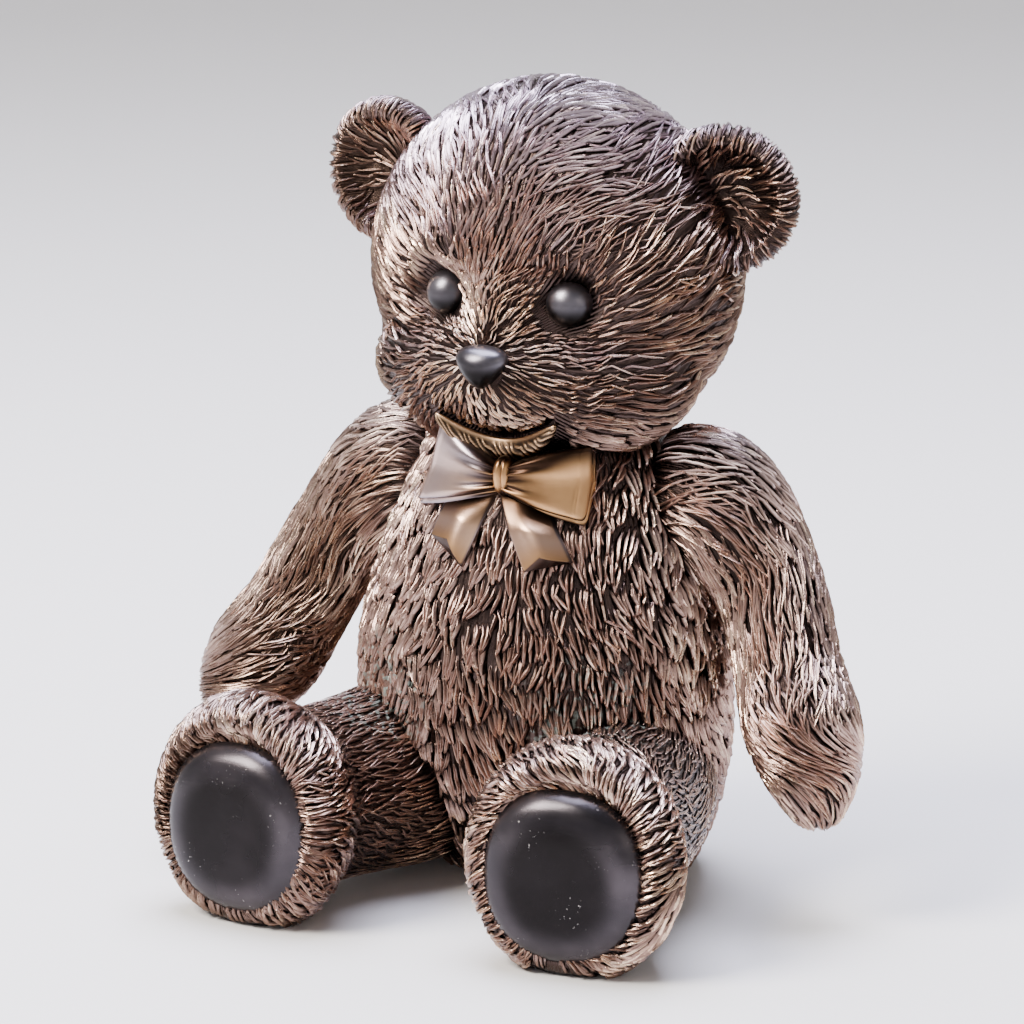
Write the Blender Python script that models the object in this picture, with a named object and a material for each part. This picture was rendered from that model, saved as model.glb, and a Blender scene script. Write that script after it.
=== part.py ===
"""Teddy bear grave ornament: a seated bear cast in bronze as one piece, with carved fur and a bow.

The bear faces -Y and its left side is +X. It sits on the ground plane at z = 0, with the origin
under its body. Every proportion is a share of HEIGHT, because a figure grows as a whole.
"""
from math import acos, atan2, cos, exp, pi, radians, sin, tau

import bmesh
import bpy
from mathutils import Matrix, Vector

# The one driving dimension, in metres: from the seat to the top of the head.
HEIGHT = 0.300
# The figure is drawn on a grid of 300 units to its height, so one unit is a millimetre here.
UNIT = HEIGHT / 300.0
# How many pieces a curve is cut into while its length is measured, and how many are kept.
CURVE_STEPS = 400
CURVE_SAMPLES = 200

# Head, in units: an egg a little wider than high, with a fuller egg for the cheeks and jaw.
HEAD_CENTRE = Vector((0, 1, 230))
HEAD_RADII = Vector((71.5, 53, 69))
JAW_CENTRE = Vector((0, -16, 194))
JAW_RADII = Vector((63, 38, 34))
# How softly the two eggs run into each other.
JAW_BLEND = 4
# Fur on the head streams away from the nose, so the rings of its form are centred on the nose.
NOSE_TILT = radians(24)
# The face's forms fade in from the sides: none at the first share of facing forwards, all at the second.
FACE_FADES_FROM = 0.05
FACE_FULL_AT = 0.5
HEAD_RINGS = 18
HEAD_SPOKES = 52
# Forms of the face: across, height, spread across, spread in height, how far they stand out.
MUZZLE = (0, 199, 22, 16, 8)
NOSE_BRIDGE = (0, 219, 9, 15, 3)
BROW = (24, 243, 15, 7, 3)
EYE_SOCKET = (26, 226, 14, 11, -10)

# Eyes are balls let into the sockets, and the nose is a rounded triangle on the muzzle.
EYE_ACROSS = 25.6
EYE_HEIGHT = 225.7
EYE_RADIUS = 8.9
EYE_SUNK = -0.3
# The fur lies flat round an eye out to this distance from its middle.
EYE_CLEARING = 13
NOSE_HEIGHT = 203
NOSE_HALF_WIDTH = 11
NOSE_HALF_HEIGHT = 8.2
NOSE_HALF_DEPTH = 7.5
# The nose's middle lies this far behind the muzzle's skin.
NOSE_SUNK = 1
# Its width as a share of the full one at mid height, and how much wider it is at the top than there.
NOSE_MIDDLE_WIDTH = 0.78
NOSE_WIDENING = 0.34
NOSE_TOP_HEIGHT = 0.8

# The smile is a groove along an arc, with the lower lip rolled out under it.
SMILE_HALF_WIDTH = 25
SMILE_CORNER_HEIGHT = 184
SMILE_DIP = 10
MOUTH_RADIUS = 3.0
LIP_HALF_WIDTH = 25
LIP_CORNER_HEIGHT = 180
LIP_DIP = 11.5
LIP_RADIUS = 3.8
LIP_STAND_OUT = 1.6
# Both beads are drawn in this many pieces, and thin out to this share at the corners.
SMILE_STEPS = 12
SMILE_CORNER_SHARE = 0.3

# Ears are cupped discs with a rolled rim, a third of them sunk in the head. The profile runs from
# the middle of the cup over the rim to the middle of the back, as radius and distance forwards.
EAR_CENTRE = Vector((69.3, -2, 260))
EAR_RIM_RADIUS = 27
EAR_RIM_FORWARD = 5.5
EAR_PROFILE = (
    (0, -3), (12, -3), (17.5, 1), (22, EAR_RIM_FORWARD), (EAR_RIM_RADIUS, 1), (25, -6), (14, -11), (0, -12),
)
EAR_TURN = radians(12)
EAR_RINGS = 10
EAR_SPOKES = 20

# Torso stations from the neck down: height, half width, half depth, middle in depth.
TORSO_STATIONS = (
    (188, 0, 0, 0),
    (186, 22, 19, 0),
    (172, 41, 36, -2),
    (150, 52, 44, -4),
    (120, 63, 53, -7),
    (85, 70, 59, -9),
    (45, 69, 56, -6),
    (12, 58, 44, 2),
    (-8, 40, 28, 6),
    (-12, 0, 0, 6),
)
TORSO_RINGS = 16
TORSO_SPOKES = 52

# The middle line of the bear's left arm, from inside the chest to the flat tip, and its turned
# profile as pairs of distance along that line and radius.
ARM_LINE = (
    (42, 3, 148), (66, 2, 144), (89, -4, 117), (104, -16, 88), (118, -28, 60), (119, -23, 37),
    (114, -16, 24),
)
ARM_PROFILE = (
    (0, 0), (3, 17), (14, 22), (32, 22), (62, 18.5), (92, 18), (116, 20), (133, 17), (146, 11),
    (153, 7), (154, 0),
)
ARM_RINGS = 18
ARM_SPOKES = 18

# The middle line of the bear's left leg, from inside the hip to the sole, and its profile: the
# collar of fur swells before the sole and turns in to the recess of the pad.
LEG_LINE = ((34, 2, 38), (46, -36, 38), (58, -76, 38), (65, -112, 40), (68, -138, 41))
LEG_PROFILE = (
    (0, 0), (2, 24), (12, 33), (40, 34), (70, 32), (94, 32), (106, 37), (118, 41.5), (127, 41),
    (134, 36.5), (134, 31.5), (130, 27), (129, 0),
)
LEG_RINGS = 16
LEG_SPOKES = 32
# The collar stands a little higher than it is wide.
COLLAR_TALLER = 1.05
# The side of every limb that counts as its top, so that its rings don't twist along it.
LIMB_UPRIGHT = Vector((0, 0.35, 1))

# Pads are domes in the recess of the collars.
PAD_CENTRE = Vector((66, -126, 36))
PAD_HALF_WIDTH = 31
PAD_HALF_HEIGHT = 32
PAD_DOME = 9
PAD_SPLAY = radians(5)

# Carved locks: how far a tip stands out and how many rings of the form one lock is long.
LOCK_RISE = 3.4
LOCK_RINGS = 2
# How far a tip overhangs the root of the next lock, as a share of the space between rings.
LOCK_OVERHANG = 0.32
# How much of its rise a lock has at its root, and where fur ends at both poles of a form.
LOCK_ROOT_SHARE = 0.25
FUR_SPAN = (0.06, 0.94)
# A ring smaller than this is a pole, which stays where it is.
POLE_RADIUS = 1

# Bow on the chest. Its loops are puffed and overlap inside the knot.
BOW_ACROSS = 2.5
BOW_HEIGHT = 159
BOW_STAND_OFF = 4
KNOT_RADII = Vector((3.6, 5.5, 6.5))
KNOT_STAND_OUT = 1
LOOP_LENGTH = 36
LOOP_OVERLAP = 2
LOOP_HALF_HEIGHT = 16
LOOP_HALF_THICKNESS = 5
LOOP_WAIST = 3.2
# A loop reaches its full height before its end, and its corners stand out by a share of it.
LOOP_FULL_AT = 0.77
LOOP_CORNERS = 0.35
LOOP_DROOP = {-1: 0.05, 1: 0.25}
# The tails are ribbons laid on the chest. The bear's left one crosses over the other at the knot.
TAIL_LENGTH = 36
TAIL_HALF_WIDTH = 9.5
TAIL_ROOT_HALF_WIDTH = 3.5
TAIL_NOTCH = 6
TAIL_STAND_OUT = {-1: 4.6, 1: 6.0}
TAIL_SUNK = 6
TAIL_SPREAD = {-1: radians(40), 1: radians(28)}
TAIL_CELLS = 4

# Nothing of the figure reaches below the ground it sits on.
GROUND_BLOCK = Vector((300, 330, 60))


def clear_scene():
    for old in list(bpy.data.objects):
        bpy.data.objects.remove(old, do_unlink=True)


def new_collection(name):
    collection = bpy.data.collections.new(name)
    bpy.context.scene.collection.children.link(collection)
    return collection


def bronze(name, colour, roughness):
    """A Principled bronze of one colour."""
    material = bpy.data.materials.new(name)
    material.use_nodes = True
    shader = material.node_tree.nodes["Principled BSDF"]
    shader.inputs["Base Color"].default_value = (*colour, 1.0)
    shader.inputs["Metallic"].default_value = 1.0
    shader.inputs["Roughness"].default_value = roughness
    material.diffuse_color = (*colour, 1.0)
    return material


def add_object(name, mesh, material, collection):
    mesh.materials.append(material)
    made = bpy.data.objects.new(name, mesh)
    collection.objects.link(made)
    return made


def on_curve(points, share):
    """A point on the Catmull-Rom curve through the points, by its share of the way along."""
    place = min(max(share, 0.0), 1.0) * (len(points) - 1)
    index = min(int(place), len(points) - 2)
    blend = place - index
    before = points[max(index - 1, 0)]
    start = points[index]
    end = points[index + 1]
    after = points[min(index + 2, len(points) - 1)]
    bend = 2 * before - 5 * start + 4 * end - after
    twist = 3 * (start - end) + after - before
    return start + 0.5 * blend * ((end - before) + blend * (bend + blend * twist))


def even_samples(points, count=CURVE_SAMPLES):
    """Points an equal distance apart along the curve, read from a fine polyline."""
    points = [Vector(point) for point in points]
    fine = [on_curve(points, step / CURVE_STEPS) for step in range(CURVE_STEPS + 1)]
    lengths = [0.0]
    for first, second in zip(fine, fine[1:]):
        lengths.append(lengths[-1] + (second - first).length)
    samples = []
    index = 0
    for step in range(count + 1):
        target = lengths[-1] * step / count
        while index < len(fine) - 2 and lengths[index + 1] < target:
            index += 1
        span = lengths[index + 1] - lengths[index]
        samples.append(fine[index].lerp(fine[index + 1], (target - lengths[index]) / span))
    return samples


def between(samples, share):
    """The value at a share of the way through evenly spaced samples."""
    place = min(max(share, 0.0), 1.0) * (len(samples) - 1)
    index = min(int(place), len(samples) - 2)
    return samples[index].lerp(samples[index + 1], place - index)


def bump(across, height, form):
    """A soft round rise with its own place, spread and height."""
    centre_x, centre_z, spread_x, spread_z, rise = form
    return rise * exp(-((across - centre_x) / spread_x) ** 2 - ((height - centre_z) / spread_z) ** 2)


def face_relief(across, height):
    """How far the face stands out in front of the plain egg of the head."""
    side = abs(across)
    middle = bump(side, height, MUZZLE) + bump(side, height, NOSE_BRIDGE)
    return middle + bump(side, height, BROW) + bump(side, height, EYE_SOCKET)


def reach_of_egg(direction, centre, radii):
    """How far a ray from the middle of the head runs before it leaves an egg."""
    start = Vector([(own - other) / radius for own, other, radius in zip(HEAD_CENTRE, centre, radii)])
    ray = Vector([share / radius for share, radius in zip(direction, radii)])
    half_b = start.dot(ray)
    inside = half_b ** 2 - ray.length_squared * (start.length_squared - 1.0)
    return (-half_b + max(inside, 0.0) ** 0.5) / ray.length_squared


def head_reach(direction):
    """The distance to the head's skin: the further of the two eggs, blended softly."""
    skull = reach_of_egg(direction, HEAD_CENTRE, HEAD_RADII)
    jaw = reach_of_egg(direction, JAW_CENTRE, JAW_RADII)
    overlap = max(1.0 - abs(skull - jaw) / JAW_BLEND, 0.0)
    return max(skull, jaw) + JAW_BLEND / 4 * overlap ** 2


def head_point(direction, rise=0.0):
    """The head's skin in one direction from its centre, raised along that direction."""
    skin = HEAD_CENTRE + direction * head_reach(direction)
    if direction.y < 0:
        from_eye = Vector((abs(skin.x) - EYE_ACROSS, skin.z - EYE_HEIGHT)).length
        rise *= min(from_eye / EYE_CLEARING, 1.0) ** 2
    skin += direction * rise
    front = min(max((-direction.y - FACE_FADES_FROM) / (FACE_FULL_AT - FACE_FADES_FROM), 0.0), 1.0)
    skin.y -= front * face_relief(skin.x, skin.z)
    return skin


def face_depth(across, height):
    """The y of the face straight in front of a place on it, found by halving the distance."""
    outside, inside = -2 * HEAD_RADII.y, 0.0
    for _ in range(24):
        middle = (outside + inside) / 2
        place = Vector((across, middle, height)) - HEAD_CENTRE
        if place.length > head_reach(place.normalized()):
            outside = middle
        else:
            inside = middle
    return inside - face_relief(across, height)


def head_surface(along, turn, rise):
    polar = pi * along
    direction = Vector((sin(polar) * cos(tau * turn), sin(polar) * sin(tau * turn), cos(polar)))
    direction.rotate(Matrix.Rotation(pi / 2 + NOSE_TILT, 3, "X"))
    return head_point(direction, rise)


TORSO_SAMPLES = even_samples(TORSO_STATIONS)


def torso_surface(along, turn, rise):
    height, half_width, half_depth, middle = between(TORSO_SAMPLES, along)
    angle = tau * turn
    reach = rise if half_width > POLE_RADIUS else 0.0
    across = (half_width + reach) * cos(angle)
    return Vector((across, middle + (half_depth + reach) * sin(angle), height))


def chest_depth(across, height):
    """The y of the chest's skin straight in front of a place on it."""
    nearest = min(TORSO_SAMPLES, key=lambda sample: abs(sample[0] - height))
    share = min(abs(across) / nearest[1], 1.0)
    return nearest[3] - nearest[2] * (1.0 - share ** 2) ** 0.5


def limb_surface(line, profile, side, taller):
    """A turned profile carried along a bent middle line, for the limb on one side."""
    spine = even_samples(line)
    length = sum((second - first).length for first, second in zip(spine, spine[1:]))
    outline = even_samples(profile)
    near = 2 / CURVE_SAMPLES

    def surface(along, turn, rise):
        distance, radius = between(outline, along)
        share = distance / length
        middle = between(spine, share)
        ahead = (between(spine, share + near) - between(spine, share - near)).normalized()
        beside = ahead.cross(LIMB_UPRIGHT).normalized()
        above = beside.cross(ahead)
        reach = radius + (rise if radius > POLE_RADIUS else 0.0)
        angle = tau * turn
        place = middle + beside * (reach * cos(angle) / taller) + above * (reach * sin(angle) * taller)
        place.x *= side
        return place

    return surface


EAR_SAMPLES = even_samples(EAR_PROFILE)


def ear_surface(side):
    """A turned profile whose front is cupped, facing forwards and a little outwards."""
    facing = Matrix.Rotation(side * EAR_TURN, 3, "Z")
    centre = Vector((side * EAR_CENTRE.x, EAR_CENTRE.y, EAR_CENTRE.z))

    def surface(along, turn, rise):
        radius, forward = between(EAR_SAMPLES, along)
        outward = Vector((radius / EAR_RIM_RADIUS, forward / EAR_RIM_FORWARD))
        lift = outward.normalized() * rise if radius > POLE_RADIUS else Vector((0, 0))
        reach = radius + lift.x
        return centre + facing @ Vector((reach * cos(tau * turn), -forward - lift.y, reach * sin(tau * turn)))

    return surface


def lock_rise(ring, spoke, rise):
    """Height and shift of a point of the carving.

    Every other spoke is the crest of a row of locks, and the rows are out of step with each
    other. A lock rises from its root to its tip, which overhangs the root of the next one.
    """
    if spoke % 2:
        return 0.0, 0.0
    step = (ring + (spoke // 2) % 2 * (LOCK_RINGS // 2)) % LOCK_RINGS
    share = step / (LOCK_RINGS - 1)
    return rise * (LOCK_ROOT_SHARE + (1 - LOCK_ROOT_SHARE) * share), LOCK_OVERHANG * (2 * share - 1)


def carved_form(name, look, collection, rings, spokes, surface, rise):
    """A UV sphere whose points are moved onto a surface and raised into locks of fur."""
    shape = bmesh.new()
    bmesh.ops.create_uvsphere(shape, u_segments=spokes, v_segments=rings, radius=1.0)
    for point in shape.verts:
        along = acos(min(max(point.co.z, -1.0), 1.0)) / pi
        turn = atan2(point.co.y, point.co.x) / tau % 1.0
        ring = round(along * rings)
        height, shift = 0.0, 0.0
        if FUR_SPAN[0] < along < FUR_SPAN[1]:
            height, shift = lock_rise(ring, round(turn * spokes), rise)
        point.co = surface(along + shift / rings, turn, height) * UNIT
    bmesh.ops.recalc_face_normals(shape, faces=shape.faces)
    mesh = bpy.data.meshes.new(name)
    shape.to_mesh(mesh)
    shape.free()
    mesh.shade_smooth()
    mesh.set_sharp_from_angle(angle=radians(35))
    return add_object(name, mesh, look, collection)


def ball(name, look, collection, centre, radii, segments, shape_change=None):
    """A ball or a shape pulled out of one, placed in the figure's units."""
    shape = bmesh.new()
    bmesh.ops.create_uvsphere(shape, u_segments=segments, v_segments=segments // 2, radius=1.0)
    for point in shape.verts:
        place = Vector([radius * share for radius, share in zip(radii, point.co)])
        if shape_change:
            place = shape_change(place)
        point.co = (centre + place) * UNIT
    mesh = bpy.data.meshes.new(name)
    shape.to_mesh(mesh)
    shape.free()
    mesh.shade_smooth()
    return add_object(name, mesh, look, collection)


def eye(side, look, collection):
    centre = Vector((side * EYE_ACROSS, face_depth(EYE_ACROSS, EYE_HEIGHT) + EYE_SUNK, EYE_HEIGHT))
    return ball(f"eye {side}", look, collection, centre, Vector((EYE_RADIUS,) * 3), 14)


def nose(look, collection):
    """The ball is narrowed towards its lower end and flattened above."""

    def to_triangle(place):
        share = place.z / NOSE_HALF_HEIGHT
        place.x *= NOSE_MIDDLE_WIDTH + NOSE_WIDENING * share
        if share > 0:
            place.z *= NOSE_TOP_HEIGHT
        return place

    centre = Vector((0, face_depth(0, NOSE_HEIGHT) + NOSE_SUNK, NOSE_HEIGHT))
    radii = Vector((NOSE_HALF_WIDTH, NOSE_HALF_DEPTH, NOSE_HALF_HEIGHT))
    return ball("nose", look, collection, centre, radii, 14, to_triangle)


def arc_tube(name, look, collection, half_width, corner_height, dip, radius, inset):
    """A tapered bead along a smiling arc on the face, made from a bevelled curve."""
    curve = bpy.data.curves.new(name, "CURVE")
    curve.dimensions = "3D"
    curve.bevel_depth = radius * UNIT
    curve.bevel_resolution = 2
    curve.use_fill_caps = True
    spline = curve.splines.new("POLY")
    spline.points.add(SMILE_STEPS)
    for step, point in enumerate(spline.points):
        share = 2 * step / SMILE_STEPS - 1
        across = share * half_width
        height = corner_height - dip * (1 - share ** 2)
        place = Vector((across, face_depth(across, height) + inset, height)) * UNIT
        point.co = (*place, 1)
        point.radius = max(1 - share ** 4, SMILE_CORNER_SHARE)
    drawn = bpy.data.objects.new(name, curve)
    collection.objects.link(drawn)
    return mesh_from_curve(drawn, name, look, collection)


def mesh_from_curve(drawn, name, look, collection):
    """The curve's evaluated mesh, with its caps welded on."""
    bpy.context.view_layer.update()
    evaluated = drawn.evaluated_get(bpy.context.evaluated_depsgraph_get())
    mesh = bpy.data.meshes.new_from_object(evaluated)
    shape = bmesh.new()
    shape.from_mesh(mesh)
    bmesh.ops.remove_doubles(shape, verts=shape.verts, dist=0.00001)
    bmesh.ops.recalc_face_normals(shape, faces=shape.faces)
    shape.to_mesh(mesh)
    shape.free()
    place = drawn.matrix_world.copy()
    bpy.data.objects.remove(drawn, do_unlink=True)
    mesh.materials.clear()
    made = add_object(name, mesh, look, collection)
    made.matrix_world = place
    return made


def pad(side, look, collection):
    turn = Matrix.Rotation(side * PAD_SPLAY, 3, "Z")
    centre = Vector((side * PAD_CENTRE.x, PAD_CENTRE.y, PAD_CENTRE.z))
    radii = Vector((PAD_HALF_WIDTH, PAD_DOME, PAD_HALF_HEIGHT))
    return ball(f"pad {side}", look, collection, centre, radii, 20, lambda place: turn @ place)


def bow_loop(side, look, collection):
    """A puffed loop: narrow at the knot, widest near its end, and curving back with the chest."""

    def to_loop(place):
        reach = 2 * abs(place.x) / LOOP_LENGTH
        share = place.x / LOOP_LENGTH + 0.5
        across = side * (share * LOOP_LENGTH - LOOP_OVERLAP)
        waist = LOOP_WAIST / LOOP_HALF_HEIGHT
        spread = waist + (1 - waist) * min(share / LOOP_FULL_AT, 1.0)
        height = place.z * (1 + LOOP_CORNERS * reach ** 2) * spread - abs(across) * LOOP_DROOP[side]
        depth = chest_depth(across, BOW_HEIGHT) - BOW_STAND_OFF + place.y
        return Vector((BOW_ACROSS + across, depth, BOW_HEIGHT + height))

    radii = Vector((LOOP_LENGTH / 2, LOOP_HALF_THICKNESS, LOOP_HALF_HEIGHT))
    return ball(f"bow loop {side}", look, collection, Vector((0, 0, 0)), radii, 14, to_loop)


def bow_tail(side, look, collection):
    """A ribbon with a notched end: a grid laid on the chest and given thickness into it."""
    shape = bmesh.new()
    bmesh.ops.create_grid(shape, x_segments=TAIL_CELLS, y_segments=TAIL_CELLS, size=1.0)
    for point in shape.verts:
        share = (1 - point.co.y) / 2
        half_width = TAIL_ROOT_HALF_WIDTH + (TAIL_HALF_WIDTH - TAIL_ROOT_HALF_WIDTH) * share
        down = TAIL_LENGTH - TAIL_NOTCH * (1 - abs(point.co.x))
        place = Vector((point.co.x * half_width, 0, -down * share))
        place.rotate(Matrix.Rotation(-side * TAIL_SPREAD[side], 3, "Y"))
        across = BOW_ACROSS + place.x
        height = BOW_HEIGHT + place.z
        point.co = Vector((across, chest_depth(across, height) - TAIL_STAND_OUT[side], height)) * UNIT
    grown = bmesh.ops.extrude_face_region(shape, geom=shape.faces[:])
    moved = [part for part in grown["geom"] if isinstance(part, bmesh.types.BMVert)]
    bmesh.ops.translate(shape, verts=moved, vec=Vector((0, TAIL_STAND_OUT[side] + TAIL_SUNK, 0)) * UNIT)
    bmesh.ops.recalc_face_normals(shape, faces=shape.faces)
    mesh = bpy.data.meshes.new(f"bow tail {side}")
    shape.to_mesh(mesh)
    shape.free()
    return add_object(f"bow tail {side}", mesh, look, collection)


def ground_block(look, collection):
    """What lies below the ground is cut off flat."""
    shape = bmesh.new()
    bmesh.ops.create_cube(shape, size=1.0)
    for point in shape.verts:
        share = Vector((point.co.x, point.co.y, point.co.z - 0.5))
        point.co = Vector([size * part for size, part in zip(GROUND_BLOCK, share)]) * UNIT
    mesh = bpy.data.meshes.new("ground")
    shape.to_mesh(mesh)
    shape.free()
    return add_object("ground", mesh, look, collection)


def apply_tool(target, tool, operation):
    """The tool stays as a hidden object, and a live Boolean joins or cuts with it."""
    tool.hide_render = True
    tool.display_type = "WIRE"
    step = target.modifiers.new(tool.name, "BOOLEAN")
    step.operation = operation
    step.solver = "EXACT"
    step.material_mode = "TRANSFER"
    step.object = tool


def build():
    clear_scene()
    figure = new_collection("teddy bear")
    tools = new_collection("forms and cutters")
    fur_bronze = bronze("brown fur bronze", (0.16, 0.085, 0.05), 0.42)
    bow_bronze = bronze("golden bow bronze", (0.42, 0.27, 0.13), 0.38)
    pad_bronze = bronze("dark pad bronze", (0.045, 0.032, 0.035), 0.25)
    eye_bronze = bronze("blue black eye bronze", (0.06, 0.06, 0.07), 0.35)

    bear = carved_form("teddy_bear", fur_bronze, figure, TORSO_RINGS, TORSO_SPOKES, torso_surface, LOCK_RISE)
    head = carved_form("head", fur_bronze, tools, HEAD_RINGS, HEAD_SPOKES, head_surface, LOCK_RISE)
    apply_tool(bear, head, "UNION")
    for side in (-1, 1):
        arm = limb_surface(ARM_LINE, ARM_PROFILE, side, 1.0)
        leg = limb_surface(LEG_LINE, LEG_PROFILE, side, COLLAR_TALLER)
        ear = ear_surface(side)
        forms = (
            carved_form(f"arm {side}", fur_bronze, tools, ARM_RINGS, ARM_SPOKES, arm, LOCK_RISE),
            carved_form(f"leg {side}", fur_bronze, tools, LEG_RINGS, LEG_SPOKES, leg, LOCK_RISE),
            carved_form(f"ear {side}", fur_bronze, tools, EAR_RINGS, EAR_SPOKES, ear, LOCK_RISE / 2),
            pad(side, pad_bronze, tools),
            eye(side, eye_bronze, tools),
            bow_loop(side, bow_bronze, tools),
            bow_tail(side, bow_bronze, tools),
        )
        for form in forms:
            apply_tool(bear, form, "UNION")
    mouth = arc_tube(
        "mouth", eye_bronze, tools, SMILE_HALF_WIDTH, SMILE_CORNER_HEIGHT, SMILE_DIP, MOUTH_RADIUS, 0.0
    )
    lip = arc_tube(
        "lip", fur_bronze, tools, LIP_HALF_WIDTH, LIP_CORNER_HEIGHT, LIP_DIP, LIP_RADIUS, -LIP_STAND_OUT
    )
    knot_depth = chest_depth(0, BOW_HEIGHT) - BOW_STAND_OFF - KNOT_STAND_OUT
    knot_centre = Vector((BOW_ACROSS, knot_depth, BOW_HEIGHT))
    knot = ball("bow knot", bow_bronze, tools, knot_centre, KNOT_RADII, 12)
    apply_tool(bear, lip, "UNION")
    apply_tool(bear, mouth, "DIFFERENCE")
    apply_tool(bear, nose(eye_bronze, tools), "UNION")
    apply_tool(bear, knot, "UNION")
    apply_tool(bear, ground_block(fur_bronze, tools), "DIFFERENCE")


build()
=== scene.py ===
# %% [markdown]
# # A teddy bear in cast bronze
# The real object is a seated bear, modelled in clay with a wooden tool, cast hollow in bronze and
# given a dark brown patina that is rubbed back to gold on the crests. The measured solid of it is
# loaded first. Everything below is drawn over that solid, in the same place and at the same size.

# %% Load the measured solid
from math import cos, pi, radians, sin, tau

import bpy
import numpy as np
from mathutils import Matrix, Vector


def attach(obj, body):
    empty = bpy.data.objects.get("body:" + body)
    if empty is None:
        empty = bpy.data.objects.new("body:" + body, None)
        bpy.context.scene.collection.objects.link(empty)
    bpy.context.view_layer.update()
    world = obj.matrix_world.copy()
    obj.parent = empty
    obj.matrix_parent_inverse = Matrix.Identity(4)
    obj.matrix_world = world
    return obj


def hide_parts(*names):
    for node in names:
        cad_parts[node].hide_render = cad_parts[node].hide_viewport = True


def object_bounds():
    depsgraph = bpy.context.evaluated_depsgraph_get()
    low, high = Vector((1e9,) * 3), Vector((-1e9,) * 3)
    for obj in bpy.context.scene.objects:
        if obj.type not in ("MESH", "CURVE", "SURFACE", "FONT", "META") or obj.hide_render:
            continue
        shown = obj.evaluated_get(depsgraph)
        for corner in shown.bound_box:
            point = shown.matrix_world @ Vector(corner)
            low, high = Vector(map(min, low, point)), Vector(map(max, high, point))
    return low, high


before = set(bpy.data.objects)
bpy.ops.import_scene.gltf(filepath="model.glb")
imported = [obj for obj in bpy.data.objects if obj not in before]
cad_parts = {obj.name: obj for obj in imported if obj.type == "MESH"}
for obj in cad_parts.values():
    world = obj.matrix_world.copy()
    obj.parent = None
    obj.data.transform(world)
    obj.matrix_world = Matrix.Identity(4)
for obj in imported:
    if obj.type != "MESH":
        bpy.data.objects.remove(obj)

cad_box = [list(corner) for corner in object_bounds()]
print("the solid fills", cad_box)

# %% [markdown]
# The figure is drawn on a grid of 300 units to its height, from the seat to the skin of the crown.
# The solid's locks stand a little higher, so one unit is the solid's height over 302. On a bear of
# 300 mm a unit is a millimetre, which keeps every number below easy to picture.

# %% The drawing unit
UNITS_TO_THE_HIGHEST_LOCK = 302.0
UNIT = (cad_box[1][2] - cad_box[0][2]) / UNITS_TO_THE_HIGHEST_LOCK
print("one unit is", round(UNIT * 1000, 4), "mm")

# %% [markdown]
# A curve through a few points gives the middle line of an arm or the outline of a leg. The
# Catmull-Rom curve passes through its points, so the points can be read off the object directly.
# Spacing the samples evenly keeps rows of fur the same distance apart.

# %% Curves through points
FINE_SAMPLES, KEPT_SAMPLES = 2000, 400


def through(points, share):
    """The Catmull-Rom curve through the points, read at an array of shares from 0 to 1.

    Between two points it is start + b/2 * (slope + b * (bend + b * twist)), with b the blend.
    """
    points = np.asarray(points, dtype=float)
    place = np.clip(share, 0.0, 1.0) * (len(points) - 1)
    index = np.minimum(place.astype(int), len(points) - 2)
    blend = (place - index)[..., None]
    before = points[np.maximum(index - 1, 0)]
    start = points[index]
    end = points[index + 1]
    after = points[np.minimum(index + 2, len(points) - 1)]
    bend = 2 * before - 5 * start + 4 * end - after
    twist = 3 * (start - end) + after - before
    return start + 0.5 * blend * ((end - before) + blend * (bend + blend * twist))


def evenly(points, count=KEPT_SAMPLES):
    """Samples of the curve an equal distance apart, by reading its length backwards."""
    fine = through(points, np.linspace(0, 1, FINE_SAMPLES))
    length = np.concatenate([[0], np.cumsum(np.linalg.norm(np.diff(fine, axis=0), axis=1))])
    wanted = np.linspace(0, length[-1], count)
    return np.stack([np.interp(wanted, length, fine[:, axis]) for axis in range(fine.shape[1])], axis=1)


def read(samples, share):
    """Even samples read at an array of shares, straight between neighbours."""
    place = np.clip(share, 0.0, 1.0) * (len(samples) - 1)
    index = np.minimum(place.astype(int), len(samples) - 2)
    blend = (place - index)[..., None]
    return samples[index] * (1 - blend) + samples[index + 1] * blend


def unit(vectors):
    """Each vector divided by its length."""
    return vectors / np.maximum(np.linalg.norm(vectors, axis=-1, keepdims=True), 1e-12)


def ramp(value, low, high):
    """A smooth step from 0 at low to 1 at high: 3s squared minus 2s cubed of the share s."""
    share = np.clip((value - low) / (high - low), 0, 1)
    return share * share * (3 - 2 * share)


print("a curve is kept as", KEPT_SAMPLES, "samples an equal distance apart")

# %% [markdown]
# ## The head
# The head is an egg, a little wider than high, with a fuller egg for the cheeks and jaw. A ray from
# the middle of the skull leaves both eggs, and the skin is at the further of the two, so the two
# forms join without a seam. The muzzle, brows and eye sockets are soft rises and dents in front.

# %% Shape of the head
HEAD_CENTRE = np.array((0, 1, 230.0))
HEAD_RADII = np.array((71.5, 53, 69.0))
JAW_CENTRE = np.array((0, -16, 194.0))
JAW_RADII = np.array((63, 38, 34.0))
JAW_BLEND = 4.0
NOSE_HEIGHT, NOSE_TILT = 203, radians(24)
EYE_ACROSS, EYE_HEIGHT, EYE_RADIUS, EYE_SUNK = 25.2, 224.0, 8.9, -0.3
MOUTH_HALF_WIDTH, MOUTH_CORNER_HEIGHT, MOUTH_DIP = 25, 184, 10
MOUTH_DEPTH, MOUTH_OPENING, MOUTH_LEAST_OPENING = 7, 2.6, 0.6
MOUTH_FADE = (20, 27)
# The muzzle, the bridge of the nose, the brows and the eye sockets. Each row gives the place
# across and in height, the spread across and in height, and how far the form stands out.
FACE_FORMS = (
    (0, 199, 22, 16, 8),
    (0, 219, 9, 15, 3),
    (24, 243, 15, 7, 3),
    (26, 226, 14, 11, -10),
)
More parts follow.
